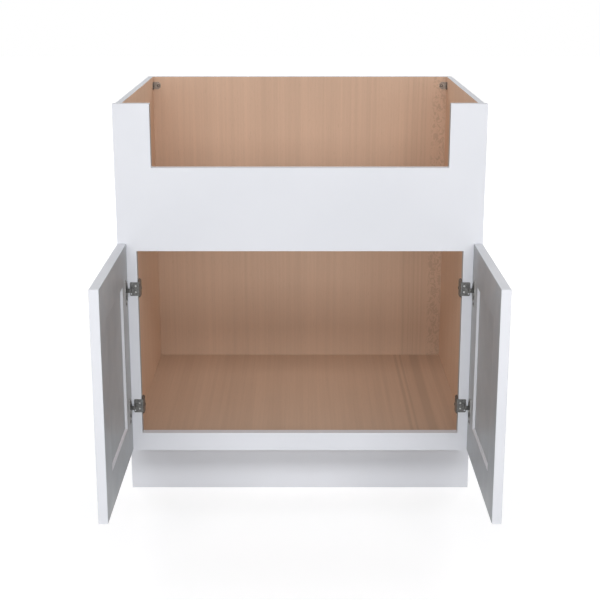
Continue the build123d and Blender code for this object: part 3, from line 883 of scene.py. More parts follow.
# the hinge block's dark brown is painted shade and a painted reflection of the wood round it
SHADED_BLOCK: Metal = ((0.175, 0.135, 0.108, 1.0), (0.110, 0.084, 0.068, 1.0), (0.44, 0.60))
BRACKET_PLATING: Metal = ((0.330, 0.276, 0.236, 1.0), (0.245, 0.203, 0.172, 1.0), (0.46, 0.64))
RING_STEEL: Metal = ((0.120, 0.092, 0.076, 1.0), (0.070, 0.054, 0.046, 1.0), (0.46, 0.62))
CUP_SCREW_STEEL: Metal = ((0.150, 0.150, 0.147, 1.0), (0.100, 0.100, 0.098, 1.0), (0.40, 0.54))
BRIGHT_ZINC: Metal = ((0.600, 0.600, 0.590, 1.0), (0.450, 0.450, 0.442, 1.0), (0.28, 0.42))
ARM_SHADE: Colour = (0.115, 0.115, 0.112, 1.0)      # painted shade on the hinge arm past the end of its plate


class Finishes:
    """Every material of the cabinet, made once."""

    def __init__(self) -> None:
        """Makes the materials."""
        paint = PaintFinish("satin_white_paint")
        plate_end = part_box("right_upper_hinge_plate")[1].x
        self.paint = paint.material()
        self.frame = self.frame_paint().material()
        self.members = {side: self.door_paint(side, "meeting_stile", MEMBER_SHADE).material()
                        for side in Side}
        self.panels = {side: self.door_paint(side, "panel", PANEL_SHADE).material()
                       for side in Side}
        self.hinge = MetalFinish("dull_hinge_plating", *HINGE_PLATING).material()
        self.cup = MetalFinish("hinge_cup_plating", *CUP_PLATING).material()
        self.link = MetalFinish("dark_hinge_pin", *PIN_STEEL).material()
        self.arm = MetalFinish("hinge_arm_plating", *HINGE_PLATING, shade_beyond=plate_end,
                               shade_colour=ARM_SHADE).material()
        self.block = MetalFinish("brown_hinge_block", *SHADED_BLOCK, metallic=0.6).material()
        self.brackets = {side: self.bracket_finish(side).material() for side in Side}
        self.ring = MetalFinish("dark_bracket_ring", *RING_STEEL).material()
        self.cup_screw = MetalFinish("dull_cup_screw", *CUP_SCREW_STEEL).material()
        self.bright = MetalFinish("bright_zinc", *BRIGHT_ZINC).material()
        self.beech = BeechFinish("bare_beech").material()
        self.boards = {node: finish.material()
                       for node, finish in self.board_finishes(paint).items()}

    def bracket_finish(self, side: Side) -> MetalFinish:
        """One corner bracket's plating, with painted shade on the leg that lies on the side panel.

        Args:
            side: The bracket's side.

        Returns:
            The finish.
        """
        low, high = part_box(f"{side.word}_corner_bracket")
        leg = high.x - BRACKET_METAL if side is Side.RIGHT else low.x + BRACKET_METAL
        name = f"{side.word}_bracket_plating"
        return MetalFinish(name, *BRACKET_PLATING, shade_plane=("X", leg))

    def frame_paint(self) -> PaintFinish:
        """The stiles' and apron's paint, with painted shade on the edges that face the openings.

        Returns:
            The finish.
        """
        stile_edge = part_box("right_stile")[0].x
        planes = tuple(("X", sign * place) for place in (stile_edge, NOTCH_HALF_WIDTH)
                       for sign in (-1.0, 1.0))
        return PaintFinish("face_frame_paint", shaded_planes=planes, shade_reach=0.005 * MM)

    def door_paint(self, side: Side, part: str, shade_coat: Colour) -> PaintFinish:
        """The paint of one part of a door, with painted shade on the part's back.

        Args:
            side: The door's side.
            part: The part's name, without the door's.
            shade_coat: The painted shade on the part's back.

        Returns:
            The finish.
        """
        low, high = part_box(f"{side.word}_door_{part}")
        back = low.x if side is Side.RIGHT else high.x
        name = f"{side.word}_door_{part}_paint"
        return PaintFinish(name, shaded_planes=(("X", back),), shade_coat=shade_coat)

    def board_finishes(self, paint: PaintFinish) -> dict[str, BoardFinish]:
        """The finish of each box panel, by node.

        Args:
            paint: The white that some edges and faces carry.

        Returns:
            The finishes, by the node's name.
        """
        found = {}
        for side in Side:
            low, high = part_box(f"{side.word}_side_panel")
            outer, inner = (high.x, low.x) if side is Side.RIGHT else (low.x, high.x)
            found[f"{side.word}_side_panel"] = BoardFinish(
                f"{side.word}_side_board", (("X", inner),), (), (("X", outer), ("Z", high.z)),
                WoodPrint(Grain.SIDE_WALL, SIDE_LIT_DARK, SIDE_LIT_LIGHT),
                BareWood("X", Grain.SIDE_WALL), paint)
        low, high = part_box("back_panel")
        found["back_panel"] = BoardFinish(
            "back_board", (("Y", low.y),), (("Y", high.y),), (("Z", high.z),),
            WoodPrint(Grain.BACK_WALL, streaks=BACK_STREAKS),
            BareWood("Y", Grain.BACK_WALL), paint)
        low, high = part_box("floor_panel")
        found["floor_panel"] = BoardFinish(
            "floor_board", (("Z", high.z),), (("Z", low.z),), (),
            WoodPrint(Grain.FLOOR, streaks=FLOOR_STREAKS, figure_depth=0.0),
            BareWood("Z", Grain.FLOOR), paint)
        low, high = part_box("toe_kick_board")
        found["toe_kick_board"] = BoardFinish(
            "toe_board", (), (("Y", high.y), ("Y", low.y)), (),
            WoodPrint(Grain.BACK_WALL), BareWood("Y", Grain.BACK_WALL), paint)
        return found


# ---- face frame and toe kick ----
@dataclass
class FaceFrame:
    """The painted front: two stiles, the notched apron, the bottom rail and the toe cover."""

    finishes: Finishes
    notch_half_width: float = NOTCH_HALF_WIDTH
    notch_depth: float = 130.7 * MM
    notch_corner: float = 1.5 * MM
    groove_depth: float = 6.0 * MM
    groove_clearance: float = 0.1 * MM
    outer_round: float = 1.0 * MM
    edge_round: float = 0.6 * MM
    joint_line: float = 0.08 * MM

    def painted(self, name: str, mesh: Mesh, finish: Material | None = None) -> None:
        """Puts one painted board in place of its node.

        Args:
            name: The node's name.
            mesh: The board; it is used up.
            finish: The paint; None for the plain white.
        """
        coat = finish or self.finishes.paint
        Piece(f"painted_{name}", "cabinet", Slot.PAINT, coat, (name,)).place(mesh)

    def stile(self, side: Side) -> None:
        """One upright, with the housing for the side panel along its back.

        Args:
            side: The upright's side.
        """
        low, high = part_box("right_stile")
        panel_low, panel_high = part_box("right_side_panel")
        start, end = panel_low.x - self.groove_clearance, panel_high.x + self.groove_clearance
        floor_of_groove = high.y - self.groove_depth
        section = [(low.x, low.y), (high.x, low.y), (high.x, high.y), (end, high.y),
                   (end, floor_of_groove), (start, floor_of_groove), (start, high.y),
                   (low.x, high.y)]
        mesh = extruded([(x, y, low.z) for x, y in section], (0, 0, high.z - low.z))
        inner, outer, front = lies_at("X", low.x), lies_at("X", high.x), lies_at("Y", low.y)
        crosswise = runs_along("X")
        ease(mesh, self.outer_round, ROUND, lambda edge: front(edge) and outer(edge))
        ease(mesh, self.edge_round, SOFT,
             lambda edge: front(edge) and not inner(edge) and crosswise(edge))
        ease(mesh, self.joint_line, CHAMFER, lambda edge: front(edge) and inner(edge))
        self.painted(f"{side.word}_stile", mirrored(mesh, side), self.finishes.frame)

    def apron(self) -> None:
        """The board over the doors, with its notch for the sink's front."""
        low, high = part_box("apron_board")
        half, bottom = self.notch_half_width, high.z - self.notch_depth
        outline = [(low.x, low.z), (high.x, low.z), (high.x, high.z), (half, high.z),
                   (half, bottom), (-half, bottom), (-half, high.z), (low.x, high.z)]
        mesh = extruded([(x, low.y, z) for x, z in outline], (0, high.y - low.y, 0))
        at_bottom, along_y, front = lies_at("Z", bottom), runs_along("Y"), lies_at("Y", low.y)
        left_end, right_end = lies_at("X", low.x), lies_at("X", high.x)
        ease(mesh, self.notch_corner, ROUND, lambda edge: at_bottom(edge) and along_y(edge))
        ease(mesh, self.joint_line, CHAMFER,
             lambda edge: front(edge) and (left_end(edge) or right_end(edge)))
        ease(mesh, self.edge_round, SOFT, front)
        self.painted("apron_board", mesh, self.finishes.frame)

    def bottom_rail(self) -> None:
        """The rail under the doors' opening, with the housing for the floor's edge."""
        low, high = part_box("bottom_rail")
        floor_low, floor_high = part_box("floor_panel")
        start, end = floor_low.z - self.groove_clearance, floor_high.z + self.groove_clearance
        floor_of_groove = high.y - self.groove_depth
        section = [(low.y, low.z), (high.y, low.z), (high.y, start), (floor_of_groove, start),
                   (floor_of_groove, end), (high.y, end), (high.y, high.z), (low.y, high.z)]
        mesh = extruded([(low.x, y, z) for y, z in section], (high.x - low.x, 0, 0))
        front, lengthwise = lies_at("Y", low.y), runs_along("X")
        ease(mesh, self.edge_round, SOFT, lambda edge: front(edge) and lengthwise(edge))
        self.painted("bottom_rail", mesh)

    def toe_cover(self) -> None:
        """The white board that hides the toe kick board."""
        mesh = box_mesh(*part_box("toe_kick_cover"))
        ease(mesh, self.edge_round, SOFT)
        self.painted("toe_kick_cover", mesh)

    def build(self) -> None:
        """Makes every painted board of the front."""
        for side in Side:
            self.stile(side)
        self.apron()
        self.bottom_rail()
        self.toe_cover()


# ---- doors ----
@dataclass
class Door:
    """A framed door standing open: four members round a flat panel, sloped edges on the back.

    The mesh is built for the right-hand door. Its back faces -X, and the hinge edge is at the
    rear.
    """

    side: Side
    finishes: Finishes
    member_width: float = 79.0 * MM
    window_slack: float = 1.0 * MM
    bevel: float = 4.7 * MM
    front_round: float = 1.5 * MM
    back_round: float = 1.8 * MM
    front_inner_round: float = 0.5 * MM
    panel_round: float = 0.4 * MM
    joint_line: float = 0.10 * MM
    same_place: float = 0.001 * MM

    def painted(self, part: str, mesh: Mesh, finish: Material) -> None:
        """Puts one painted part in the place of its node.

        Args:
            part: The part's name, without the door's.
            mesh: The right-hand door's part; it is used up.
            finish: The paint.
        """
        body = f"{self.side.word}_door"
        node = f"{body}_{part}"
        shape = mirrored(mesh, self.side)
        Piece(f"painted_{node}", body, Slot.PAINT, finish, (node,)).place(shape)

    def ring(self) -> Mesh:
        """The whole frame of the door before it is cut into its members.

        Returns:
            The closed frame.
        """
        parts = ("hinge_stile", "meeting_stile", "top_rail", "bottom_rail")
        low, high = box_round([corner for part in parts
                               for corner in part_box(f"right_door_{part}")])
        mesh = box_mesh(low, high)
        broad = [face for face in mesh.faces if abs(face.normal.x) > FACES_IT]
        for face in broad:
            bmesh.ops.inset_region(mesh, faces=[face], thickness=self.member_width,
                                   use_even_offset=True)
        loops = [edge for face in broad for edge in face.edges]
        bmesh.ops.delete(mesh, geom=broad, context="FACES_ONLY")
        bmesh.ops.bridge_loops(mesh, edges=loops)
        bmesh.ops.recalc_face_normals(mesh, faces=mesh.faces)
        back, front = lies_at("X", low.x), lies_at("X", high.x)
        inset = self.member_width - self.window_slack

        def inner(edge: Edge) -> bool:
            """Whether the edge borders the door's window."""
            return all(low.y + inset < vert.co.y < high.y - inset
                       and low.z + inset < vert.co.z < high.z - inset for vert in edge.verts)

        def rim(edge: Edge) -> bool:
            """Whether the edge lies along the door's outer rim."""
            return any(lies_at(letter, corner["XYZ".index(letter)])(edge)
                       for letter in "YZ" for corner in (low, high))

        ease(mesh, self.bevel, CHAMFER, lambda edge: back(edge) and inner(edge))
        ease(mesh, self.front_inner_round, SOFT, lambda edge: front(edge) and inner(edge))
        ease(mesh, self.back_round, ROUND, lambda edge: back(edge) and rim(edge))
        ease(mesh, self.front_round, ROUND, lambda edge: front(edge) and rim(edge))
        return mesh

    def member(self, part: str, cuts: Sequence[tuple[str, float, float]]) -> None:
        """Cuts one member out of the frame.

        The walls that lie in a cut and face back towards the member belong to the part taken
        away, so they go with it.

        Args:
            part: The member's name, without the door's.
            cuts: For each cut, the axis, the place, and the sign of the side taken away.
        """
        mesh = self.ring()
        for letter, value, sign in cuts:
            normal, in_cut = along(letter, sign), lies_at(letter, value)
            geometry = mesh.verts[:] + mesh.edges[:] + mesh.faces[:]
            bmesh.ops.bisect_plane(mesh, geom=geometry, dist=self.same_place,
                                   plane_co=along(letter, value), plane_no=normal,
                                   clear_outer=True)
            walls_of_the_rest = [face for face in mesh.faces
                                 if face.normal.dot(normal) < -FACES_IT
                                 and all(in_cut(edge) for edge in face.edges)]
            bmesh.ops.delete(mesh, geom=walls_of_the_rest, context="FACES")
            rim = [edge for edge in mesh.edges if edge.is_boundary and in_cut(edge)]
            bmesh.ops.holes_fill(mesh, edges=rim, sides=0)
            bmesh.ops.recalc_face_normals(mesh, faces=mesh.faces)
            ease(mesh, self.joint_line, CHAMFER, in_cut)
        self.painted(part, mesh, self.finishes.members[self.side])

    def panel(self) -> None:
        """The flat panel held in the members' groove."""
        mesh = box_mesh(*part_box("right_door_panel"))
        ease(mesh, self.panel_round, SOFT)
        self.painted("panel", mesh, self.finishes.panels[self.side])

    def drilled_stile(self) -> None:
        """The hinge stile keeps its node's shape, because the cups' bores are in it."""
        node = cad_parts[f"{self.side.word}_door_hinge_stile"]
        dress(node, self.finishes.members[self.side])
        LOG.info("%s keeps its own mesh", node.name)

    def build(self) -> None:
        """Makes the door's painted pieces."""
        hinge_low, hinge_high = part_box("right_door_hinge_stile")
        meeting_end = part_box("right_door_meeting_stile")[1].y
        middle = (hinge_low.z + hinge_high.z) / 2
        between = [("Y", hinge_low.y, 1.0), ("Y", meeting_end, -1.0)]
        self.member("meeting_stile", [("Y", meeting_end, 1.0)])
        self.member("top_rail", [*between, ("Z", middle, -1.0)])
        self.member("bottom_rail", [*between, ("Z", middle, 1.0)])
        self.panel()
        self.drilled_stile()


# ---- screws ----
@dataclass(frozen=True)
class ScrewSize:
    """A screw's head and shank."""

    head_height: float
    head_radius: float
    shank_radius: float


PLATE_SCREW = ScrewSize(0.8 * MM, 2.0 * MM, 1.25 * MM)
BOARD_SCREW = ScrewSize(1.6 * MM, 3.4 * MM, 1.75 * MM)
CUP_SCREW = ScrewSize(1.0 * MM, 3.4 * MM, 1.75 * MM)


@dataclass
class CrossScrew:
    """A pan-head screw with a cross recess, built along +Z with its seat at the origin.

    A profile's shares are pairs: of the radius, and of the shank's length or head's height.
    """

    size: ScrewSize
    shank_length: float
    steps: int = 32
    shank_profile: tuple[Pair, ...] = ((0.0, 1.0), (0.35, 0.92), (1.0, 0.80), (1.0, 0.0))
    head_profile: tuple[Pair, ...] = ((1.0, 0.0), (1.0, 0.35), (0.93, 0.72), (0.72, 1.0))
    arm_share: float = 0.52
    arm_width_share: float = 0.15
    recess_share: float = 0.62
    floor_share: float = 0.45

    def cross(self) -> list[Pair]:
        """The recess's outline, seen from above.

        Returns:
            Its corners in order.
        """
        long = self.arm_share * self.size.head_radius
        short = self.arm_width_share * self.size.head_radius
        corner = [(long, -short), (long, short), (short, short)]
        turns = [(1, 0, 0, 1), (0, -1, 1, 0), (-1, 0, 0, -1), (0, 1, -1, 0)]
        return [(a * x + b * y, c * x + d * y) for a, b, c, d in turns for x, y in corner]

    def build(self) -> Mesh:
        """Makes the screw.

        Returns:
            The closed screw.
        """
        size, crown = self.size, self.size.head_height
        shank = [(across * size.shank_radius, -down * self.shank_length)
                 for across, down in self.shank_profile]
        head = [(across * size.head_radius, up * crown) for across, up in self.head_profile]
        mesh = turned(shank + head, self.steps)
        rim = [edge for edge in mesh.edges if edge.is_boundary]
        outline = closed_wire(mesh, [(x, y, crown) for x, y in self.cross()])
        corners = {vert for edge in outline for vert in edge.verts}
        bmesh.ops.triangle_fill(mesh, use_beauty=True, edges=rim + outline, normal=(0, 0, 1))
        inside = [face for face in mesh.faces if all(vert in corners for vert in face.verts)]
        bmesh.ops.delete(mesh, geom=inside, context="FACES_ONLY")
        sunk = bmesh.ops.extrude_edge_only(mesh, edges=outline)["geom"]
        lowered = [item for item in sunk if isinstance(item, bmesh.types.BMVert)]
        bmesh.ops.scale(mesh, vec=(self.floor_share, self.floor_share, 1.0), verts=lowered)
        bmesh.ops.translate(mesh, vec=(0, 0, -crown * self.recess_share), verts=lowered)
        floor_rim = [item for item in sunk
                     if isinstance(item, Edge) and item.is_boundary]
        bmesh.ops.holes_fill(mesh, edges=floor_rim, sides=0)
        bmesh.ops.recalc_face_normals(mesh, faces=mesh.faces)
        return mesh


def aimed(mesh: Mesh, seat: Vector, outward: Vector, spin: float = 0.0) -> Mesh:
    """Turns a mesh built along +Z so that it points outward from its seat.

    Args:
        mesh: The mesh to turn; it is changed.
        seat: Where its origin goes.
        outward: Where its +Z goes.
        spin: A turn about its own axis first, in radians.

    Returns:
        The same mesh.
    """
    turn = outward.to_track_quat("Z", "Y").to_matrix().to_4x4() @ Matrix.Rotation(spin, 4, "Z")
    bmesh.ops.transform(mesh, matrix=Matrix.Translation(seat) @ turn, verts=mesh.verts)
    return mesh


def solids_of(node: str) -> list[tuple[Vector, Vector]]:
    """The box of each separate solid of a node, from the lowest up.

    Args:
        node: The node's name.

    Returns:
        Pairs of lowest and highest corner.
    """
    mesh = bmesh.new()
    mesh.from_mesh(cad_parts[node].data)
    bmesh.ops.remove_doubles(mesh, verts=mesh.verts, dist=NODE_MERGE)
    left, found = set(mesh.verts), []
    while left:
        stack, group = [left.pop()], []
        while stack:
            vert = stack.pop()
            group.append(vert.co.copy())
            beyond = {edge.other_vert(vert) for edge in vert.link_edges} & left
            left -= beyond
            stack.extend(beyond)
        found.append(box_round(group))
    mesh.free()
    return sorted(found, key=lambda pair: (round(pair[0].z, 4), round(pair[0].x, 4)))


def dress(node: bpy.types.Object, finish: Material) -> None:
    """Gives a node that stays a new material in every slot."""
    node.data.materials.clear()
    node.data.materials.append(finish)


def to_the_middle(low: Vector, high: Vector) -> float:
    """The sign of the way along X that leads from a box to the cabinet's middle."""
    return -1.0 if low.x + high.x > 0 else 1.0


def to_the_front(_low: Vector, _high: Vector) -> float:
    """The sign of the way along Y that leads to the cabinet's front."""
    return -1.0


@dataclass
class ScrewGroup:
    """The screws of one node, which all lie along one axis."""

    node: str
    size: ScrewSize
    finish: Material
    slot: Slot = Slot.BRIGHT
    body: str = "cabinet"
    axis: str = "X"
    points: Callable[[Vector, Vector], float] = to_the_middle
    spin_step: float = math.radians(37)

    def build(self) -> None:
        """Puts a screw in the place of each plain solid of the node."""
        index = "XYZ".index(self.axis)
        height = self.size.head_height
        made = []
        for number, (low, high) in enumerate(solids_of(self.node)):
            sign = self.points(low, high)
            seat = (low + high) / 2
            seat[index] = (high[index] if sign > 0 else low[index]) - sign * height
            screw = CrossScrew(self.size, high[index] - low[index] - height).build()
            made.append(aimed(screw, seat, along(self.axis, sign), self.spin_step * number))
        piece = Piece(f"cross_{self.node}", self.body, self.slot, self.finish, (self.node,))
        piece.place(joined(made))


def build_screws(finishes: Finishes) -> None:
    """Makes all the screws.

    Args:
        finishes: The cabinet's materials.
    """
    ScrewGroup("hinge_plate_screws", PLATE_SCREW, finishes.bright, axis="Y",
               points=to_the_front).build()
    ScrewGroup("hinge_edge_screws", BOARD_SCREW, finishes.block, Slot.BLOCK).build()
    ScrewGroup("corner_bracket_screws", BOARD_SCREW, finishes.ring, Slot.BRACKET).build()
    for side in Side:
        ScrewGroup(f"{side.word}_hinge_cup_screws", CUP_SCREW, finishes.cup_screw,
                   body=f"{side.word}_door").build()


# ---- hinge plates ----
@dataclass
class HingePlate:
    """The pressed plate that wraps a stile's inner edge, with a rolled bead before the block."""

    side: Side
    level: Level
    finishes: Finishes
    thickness: float = 1.0 * MM
    bead_reach: float = 3.4 * MM
    bead_depth: float = 4.0 * MM
    bead_round: float = 1.5 * MM
    corner_radius: float = 2.0 * MM
    hole_radius: float = 1.5 * MM
    hole_from_bottom: float = 4.3 * MM
    hole_from_end: float = 2.6 * MM
    edge_round: float = 0.2 * MM
    hole_steps: int = 24

    def leg(self, low: Vector, high: Vector, stile_edge: float) -> Mesh:
        """The flat front leg with its rounded corners and a punched hole in the outer lower one.

        Args:
            low: The plate's lowest corner.
            high: The plate's highest corner.
            stile_edge: The place of the stile's inner edge on X.

        Returns:
            The closed leg.
        """
        mesh = bmesh.new()
        corners = [(stile_edge, low.z), (high.x, low.z), (high.x, high.z), (stile_edge, high.z)]
        edges = closed_wire(mesh, [(x, low.y, z) for x, z in corners])
        centre = (high.x - self.hole_from_end, low.y, low.z + self.hole_from_bottom)
        upright = Matrix.Translation(centre) @ Matrix.Rotation(math.radians(90), 4, "X")
        circle = bmesh.ops.create_circle(mesh, segments=self.hole_steps,
                                         radius=self.hole_radius, matrix=upright)
        edges += list({edge for vert in circle["verts"] for edge in vert.link_edges})
        bmesh.ops.triangle_fill(mesh, use_beauty=True, edges=edges, normal=(0, -1, 0))
        push_out(mesh, mesh.faces[:], (0, self.thickness, 0))
        free_end, along_y = lies_at("X", high.x), runs_along("Y")
        front, joint = lies_at("Y", low.y), lies_at("X", stile_edge)
        ease(mesh, self.corner_radius, FULL, lambda edge: free_end(edge) and along_y(edge))
        ease(mesh, self.edge_round, CHAMFER, lambda edge: front(edge) and not joint(edge))
        return mesh

    def bead_and_web(self, low: Vector, high: Vector, stile_edge: float) -> Mesh:
        """The rolled bead past the stile's edge and the web that goes back along it.

        Args:
            low: The plate's lowest corner.
            high: The plate's highest corner.
            stile_edge: The place of the stile's inner edge on X.

        Returns:
            The closed shape.
        """
        bead_end, bead_back = stile_edge - self.bead_reach, low.y + self.bead_depth
        section = [(stile_edge, low.y), (bead_end, low.y), (bead_end, bead_back),
                   (low.x, bead_back), (low.x, high.y), (stile_edge, high.y)]
        mesh = extruded([(x, y, low.z) for x, y in section], (0, 0, high.z - low.z))
        front, end = lies_at("Y", low.y), lies_at("X", bead_end)
        ease(mesh, self.bead_round, FULL, lambda edge: front(edge) and end(edge))
        return mesh

    def build(self) -> None:
        """Makes the plate in the place of its node."""
        low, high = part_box(f"right_{self.level.value}_hinge_plate")
        stile_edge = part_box("right_stile")[0].x
        mesh = joined([self.leg(low, high, stile_edge),
                       self.bead_and_web(low, high, stile_edge)])
        node = f"{self.side.word}_{self.level.value}_hinge_plate"
        piece = Piece(f"pressed_{node}", "cabinet", Slot.HINGE, self.finishes.hinge, (node,))
        piece.place(mirrored(mesh, self.side))


# ---- brackets ----
@dataclass
class BracketNail:
    """The flat nail head and the dark ring round it, at the tip of a bracket's back leg."""

    side: Side
    finishes: Finishes
    head_radius: float = 2.1 * MM
    head_height: float = 0.35 * MM
    shank_depth: float = 3.0 * MM
    shank_share: float = 0.5
    crown_share: float = 0.85
    ring_radius: float = 3.8 * MM
    ring_height: float = 0.6 * MM
    slope_share: float = 0.25
    shoulder_share: float = 0.6
    from_tip: float = 5.0 * MM
    steps: int = 32

    def place(self, part: str, profile: Sequence[Pair], finish: Material) -> None:
        """Turns one profile and seats it on the bracket, facing forwards.

        Args:
            part: The part's name, without the bracket's.
            profile: Pairs of radius and height.
            finish: The plating.
        """
        low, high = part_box(f"{self.side.word}_corner_bracket")
        tip = low.x if self.side is Side.RIGHT else high.x
        seat = Vector((tip + self.side.value * self.from_tip, high.y - BRACKET_METAL,
                       (low.z + high.z) / 2))
        piece = Piece(f"{self.side.word}_bracket_{part}", "cabinet", Slot.BRACKET, finish)
        piece.place(aimed(turned(profile, self.steps), seat, along("Y", -1.0)))

    def build(self) -> None:
        """Makes the ring and the nail head."""
        inner, outer = self.head_radius, self.ring_radius
        slope = self.slope_share * (outer - inner)
        shoulder = self.shoulder_share * self.ring_height
        ring = [(inner, 0.0), (inner, shoulder), (inner + slope, self.ring_height),
                (outer - slope, self.ring_height), (outer, shoulder), (outer, 0.0),
                (inner, 0.0)]
        self.place("ring", ring, self.finishes.ring)
        shank, crown = self.shank_share * inner, self.crown_share * inner
        head = [(0.0, -self.shank_depth), (shank, -self.shank_depth), (shank, 0.0),
                (inner, 0.0), (inner, self.shoulder_share * self.head_height),
                (crown, self.head_height), (0.0, self.head_height)]
        self.place("nail", head, self.finishes.brackets[self.side])


# ---- nodes that keep their own shape ----
def dress_nodes(finishes: Finishes) -> None:
    """Gives the finish to every node that shows with its own mesh.

    Args:
        finishes: The cabinet's materials.
    """
    looks = {**finishes.boards, "frame_dowels": finishes.beech,
             "hinge_arm_rivets": finishes.hinge}
    parts = {"arm": finishes.arm, "cup": finishes.cup, "edge_block": finishes.block,
             "pin": finishes.link}
    for side in Side:
        looks[f"{side.word}_corner_bracket"] = finishes.brackets[side]
        for level in Level:
            for part, finish in parts.items():
                looks[f"{side.word}_{level.value}_hinge_{part}"] = finish
    for name, finish in looks.items():
        dress(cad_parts[name], finish)


# ---- studio ----
@dataclass(frozen=True)
class Softbox:
    """A rectangular lamp: where it stands, what it points at, its size and its power in watts."""

    name: str
    place: Triple
    aim: Triple
    size: Pair
    power: float


LAMPS = (
    Softbox("low_front_softbox", (0.0, -4.2, 1.3), (0.0, -0.6, 0.45), (4.8, 1.0), 67.0),
    Softbox("high_front_softbox", (0.0, -4.0, 3.1), (0.0, -0.6, 0.45), (4.8, 1.0), 85.0),
    Softbox("left_rear_softbox", (-2.0, 1.8, 2.5), (0.0, -0.3, 0.5), (1.6, 1.2), 26.0),
    Softbox("right_rear_softbox", (2.0, 1.8, 2.5), (0.0, -0.3, 0.5), (1.6, 1.2), 26.0),
    Softbox("overhead_softbox", (0.0, -0.12, 1.7), (0.0, -0.12, 0.0), (0.6, 0.25), 1.0),
    Softbox("left_side_softbox", (-3.5, 0.25, 0.5), (0.0, -0.4, 0.45), (1.6, 0.9), 34.0),
    Softbox("right_side_softbox", (3.5, 0.25, 0.5), (0.0, -0.4, 0.45), (1.6, 0.9), 34.0),
    Softbox("back_softbox", (0.0, 3.4, 0.6), (0.0, 0.0, 0.45), (1.6, 0.9), 30.0))
WHITE: Colour = (1.0, 1.0, 1.0, 1.0)


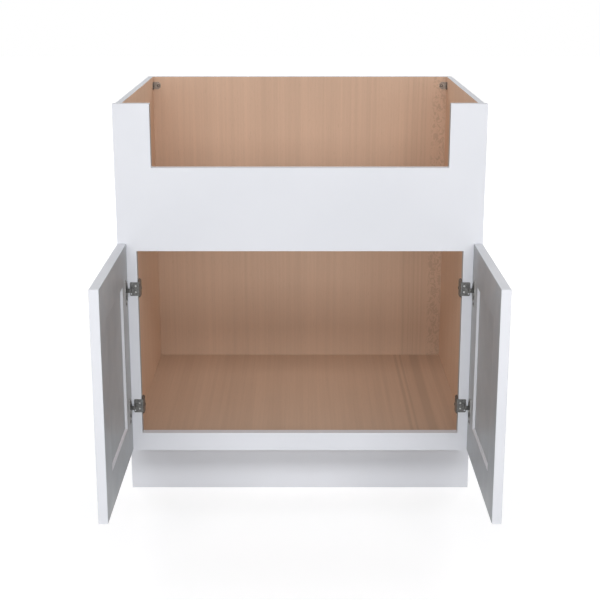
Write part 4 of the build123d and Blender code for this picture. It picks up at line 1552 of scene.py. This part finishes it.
@dataclass
class Studio:
    """Camera, lamps, floor and a white surround."""

    camera_place: Triple = (0.0, -3.21275, 1.16887)
    camera_pitch: float = 15.12
    lens: float = 76.83
    sensor: float = 36.0
    view_reach: float = 60.0
    floor_half: float = 12.0
    floor_colour: Colour = (0.55, 0.55, 0.56, 1.0)
    floor_roughness: float = 0.9
    floor_glow: Pair = (0.61, 1.0)
    glow_reach: Pair = (0.9, 2.2)
    ambient: float = 0.045

    def put(self, name: str, data: bpy.types.ID) -> bpy.types.Object:
        """Puts something in the scene.

        Args:
            name: The object's name.
            data: Its camera, lamp or mesh.

        Returns:
            The new object.
        """
        thing = bpy.data.objects.new(name, data)
        bpy.context.scene.collection.objects.link(thing)
        return thing

    def camera(self) -> None:
        """The camera at the photograph's viewpoint."""
        data = bpy.data.cameras.new("camera")
        data.lens = self.lens
        data.sensor_width = self.sensor
        data.clip_end = self.view_reach
        camera = self.put("camera", data)
        camera.location = self.camera_place
        camera.rotation_euler = (math.radians(90.0 - self.camera_pitch), 0.0, 0.0)
        bpy.context.scene.camera = camera

    def lamp(self, softbox: Softbox) -> None:
        """One soft rectangular lamp.

        Args:
            softbox: Its place, size and power.
        """
        data = bpy.data.lights.new(softbox.name, "AREA")
        data.shape = "RECTANGLE"
        data.size, data.size_y = softbox.size
        data.energy = softbox.power
        lamp = self.put(softbox.name, data)
        place = Vector(softbox.place)
        lamp.location = place
        lamp.rotation_euler = (Vector(softbox.aim) - place).to_track_quat("-Z", "Y").to_euler()

    def floor(self) -> None:
        """A pale floor that shows white to the eye but keeps the cabinet's shadow."""
        mesh = bmesh.new()
        bmesh.ops.create_grid(mesh, x_segments=2, y_segments=2, size=self.floor_half)
        data = bpy.data.meshes.new("studio_floor")
        mesh.to_mesh(data)
        mesh.free()
        graph = Graph("studio_floor")
        graph.shader.inputs["Base Color"].default_value = self.floor_colour
        graph.shader.inputs["Roughness"].default_value = self.floor_roughness
        glow = graph.tree.nodes.new("ShaderNodeEmission")
        glow.inputs["Color"].default_value = WHITE
        distance = graph.tree.nodes.new("ShaderNodeVectorMath")
        distance.operation = "LENGTH"
        graph.feed(distance.inputs[0], graph.place)
        level = graph.remap(distance.outputs["Value"], self.glow_reach, self.floor_glow)
        strength = graph.math("MULTIPLY", self.seen(graph.tree), level)
        graph.feed(glow.inputs["Strength"], strength)
        total = graph.tree.nodes.new("ShaderNodeAddShader")
        graph.feed(total.inputs[0], graph.shader.outputs["BSDF"])
        graph.feed(total.inputs[1], glow.outputs["Emission"])
        output = next(node for node in graph.tree.nodes
                      if node.bl_idname == "ShaderNodeOutputMaterial")
        graph.feed(output.inputs["Surface"], total.outputs["Shader"])
        data.materials.append(graph.material)
        floor = self.put("studio_floor", data)

    def seen(self, tree: bpy.types.NodeTree) -> Socket:
        """1 for what the camera sees, straight or in metal or glass, and 0 for the rest.

        Args:
            tree: The nodes that it is used in.

        Returns:
            The test's socket.
        """
        rays = tree.nodes.new("ShaderNodeLightPath")
        total = rays.outputs["Is Camera Ray"]
        for name in ("Is Glossy Ray", "Is Transmission Ray"):
            node = tree.nodes.new("ShaderNodeMath")
            node.operation = "MAXIMUM"
            tree.links.new(total, node.inputs[0])
            tree.links.new(rays.outputs[name], node.inputs[1])
            total = node.outputs["Value"]
        return total

    def surround(self) -> None:
        """A white background that lights the cabinet only a little."""
        world = bpy.data.worlds.new("studio_surround")
        bpy.context.scene.world = world
        world.use_nodes = True
        tree = world.node_tree
        tree.nodes.clear()
        output = tree.nodes.new("ShaderNodeOutputWorld")
        background = tree.nodes.new("ShaderNodeBackground")
        background.inputs["Color"].default_value = WHITE
        strength = tree.nodes.new("ShaderNodeMapRange")
        tree.links.new(self.seen(tree), strength.inputs["Value"])
        strength.inputs["To Min"].default_value = self.ambient
        strength.inputs["To Max"].default_value = 1.0
        tree.links.new(strength.outputs["Result"], background.inputs["Strength"])
        tree.links.new(background.outputs["Background"], output.inputs["Surface"])

    def build(self) -> None:
        """Sets up the view, the light and the floor."""
        bpy.context.scene.view_settings.view_transform = "Standard"
        self.camera()
        self.surround()
        self.floor()
        for lamp in LAMPS:
            self.lamp(lamp)


def main() -> None:
    """Builds and dresses the cabinet, piece by piece, and sets the stage."""
    logging.basicConfig(level=logging.INFO, format="%(message)s")
    finishes = Finishes()
    dress_nodes(finishes)
    FaceFrame(finishes).build()
    for side in Side:
        Door(side, finishes).build()
        BracketNail(side, finishes).build()
        for level in Level:
            HingePlate(side, level, finishes).build()
    build_screws(finishes)
    Studio().build()


if __name__ == "__main__":
    main()
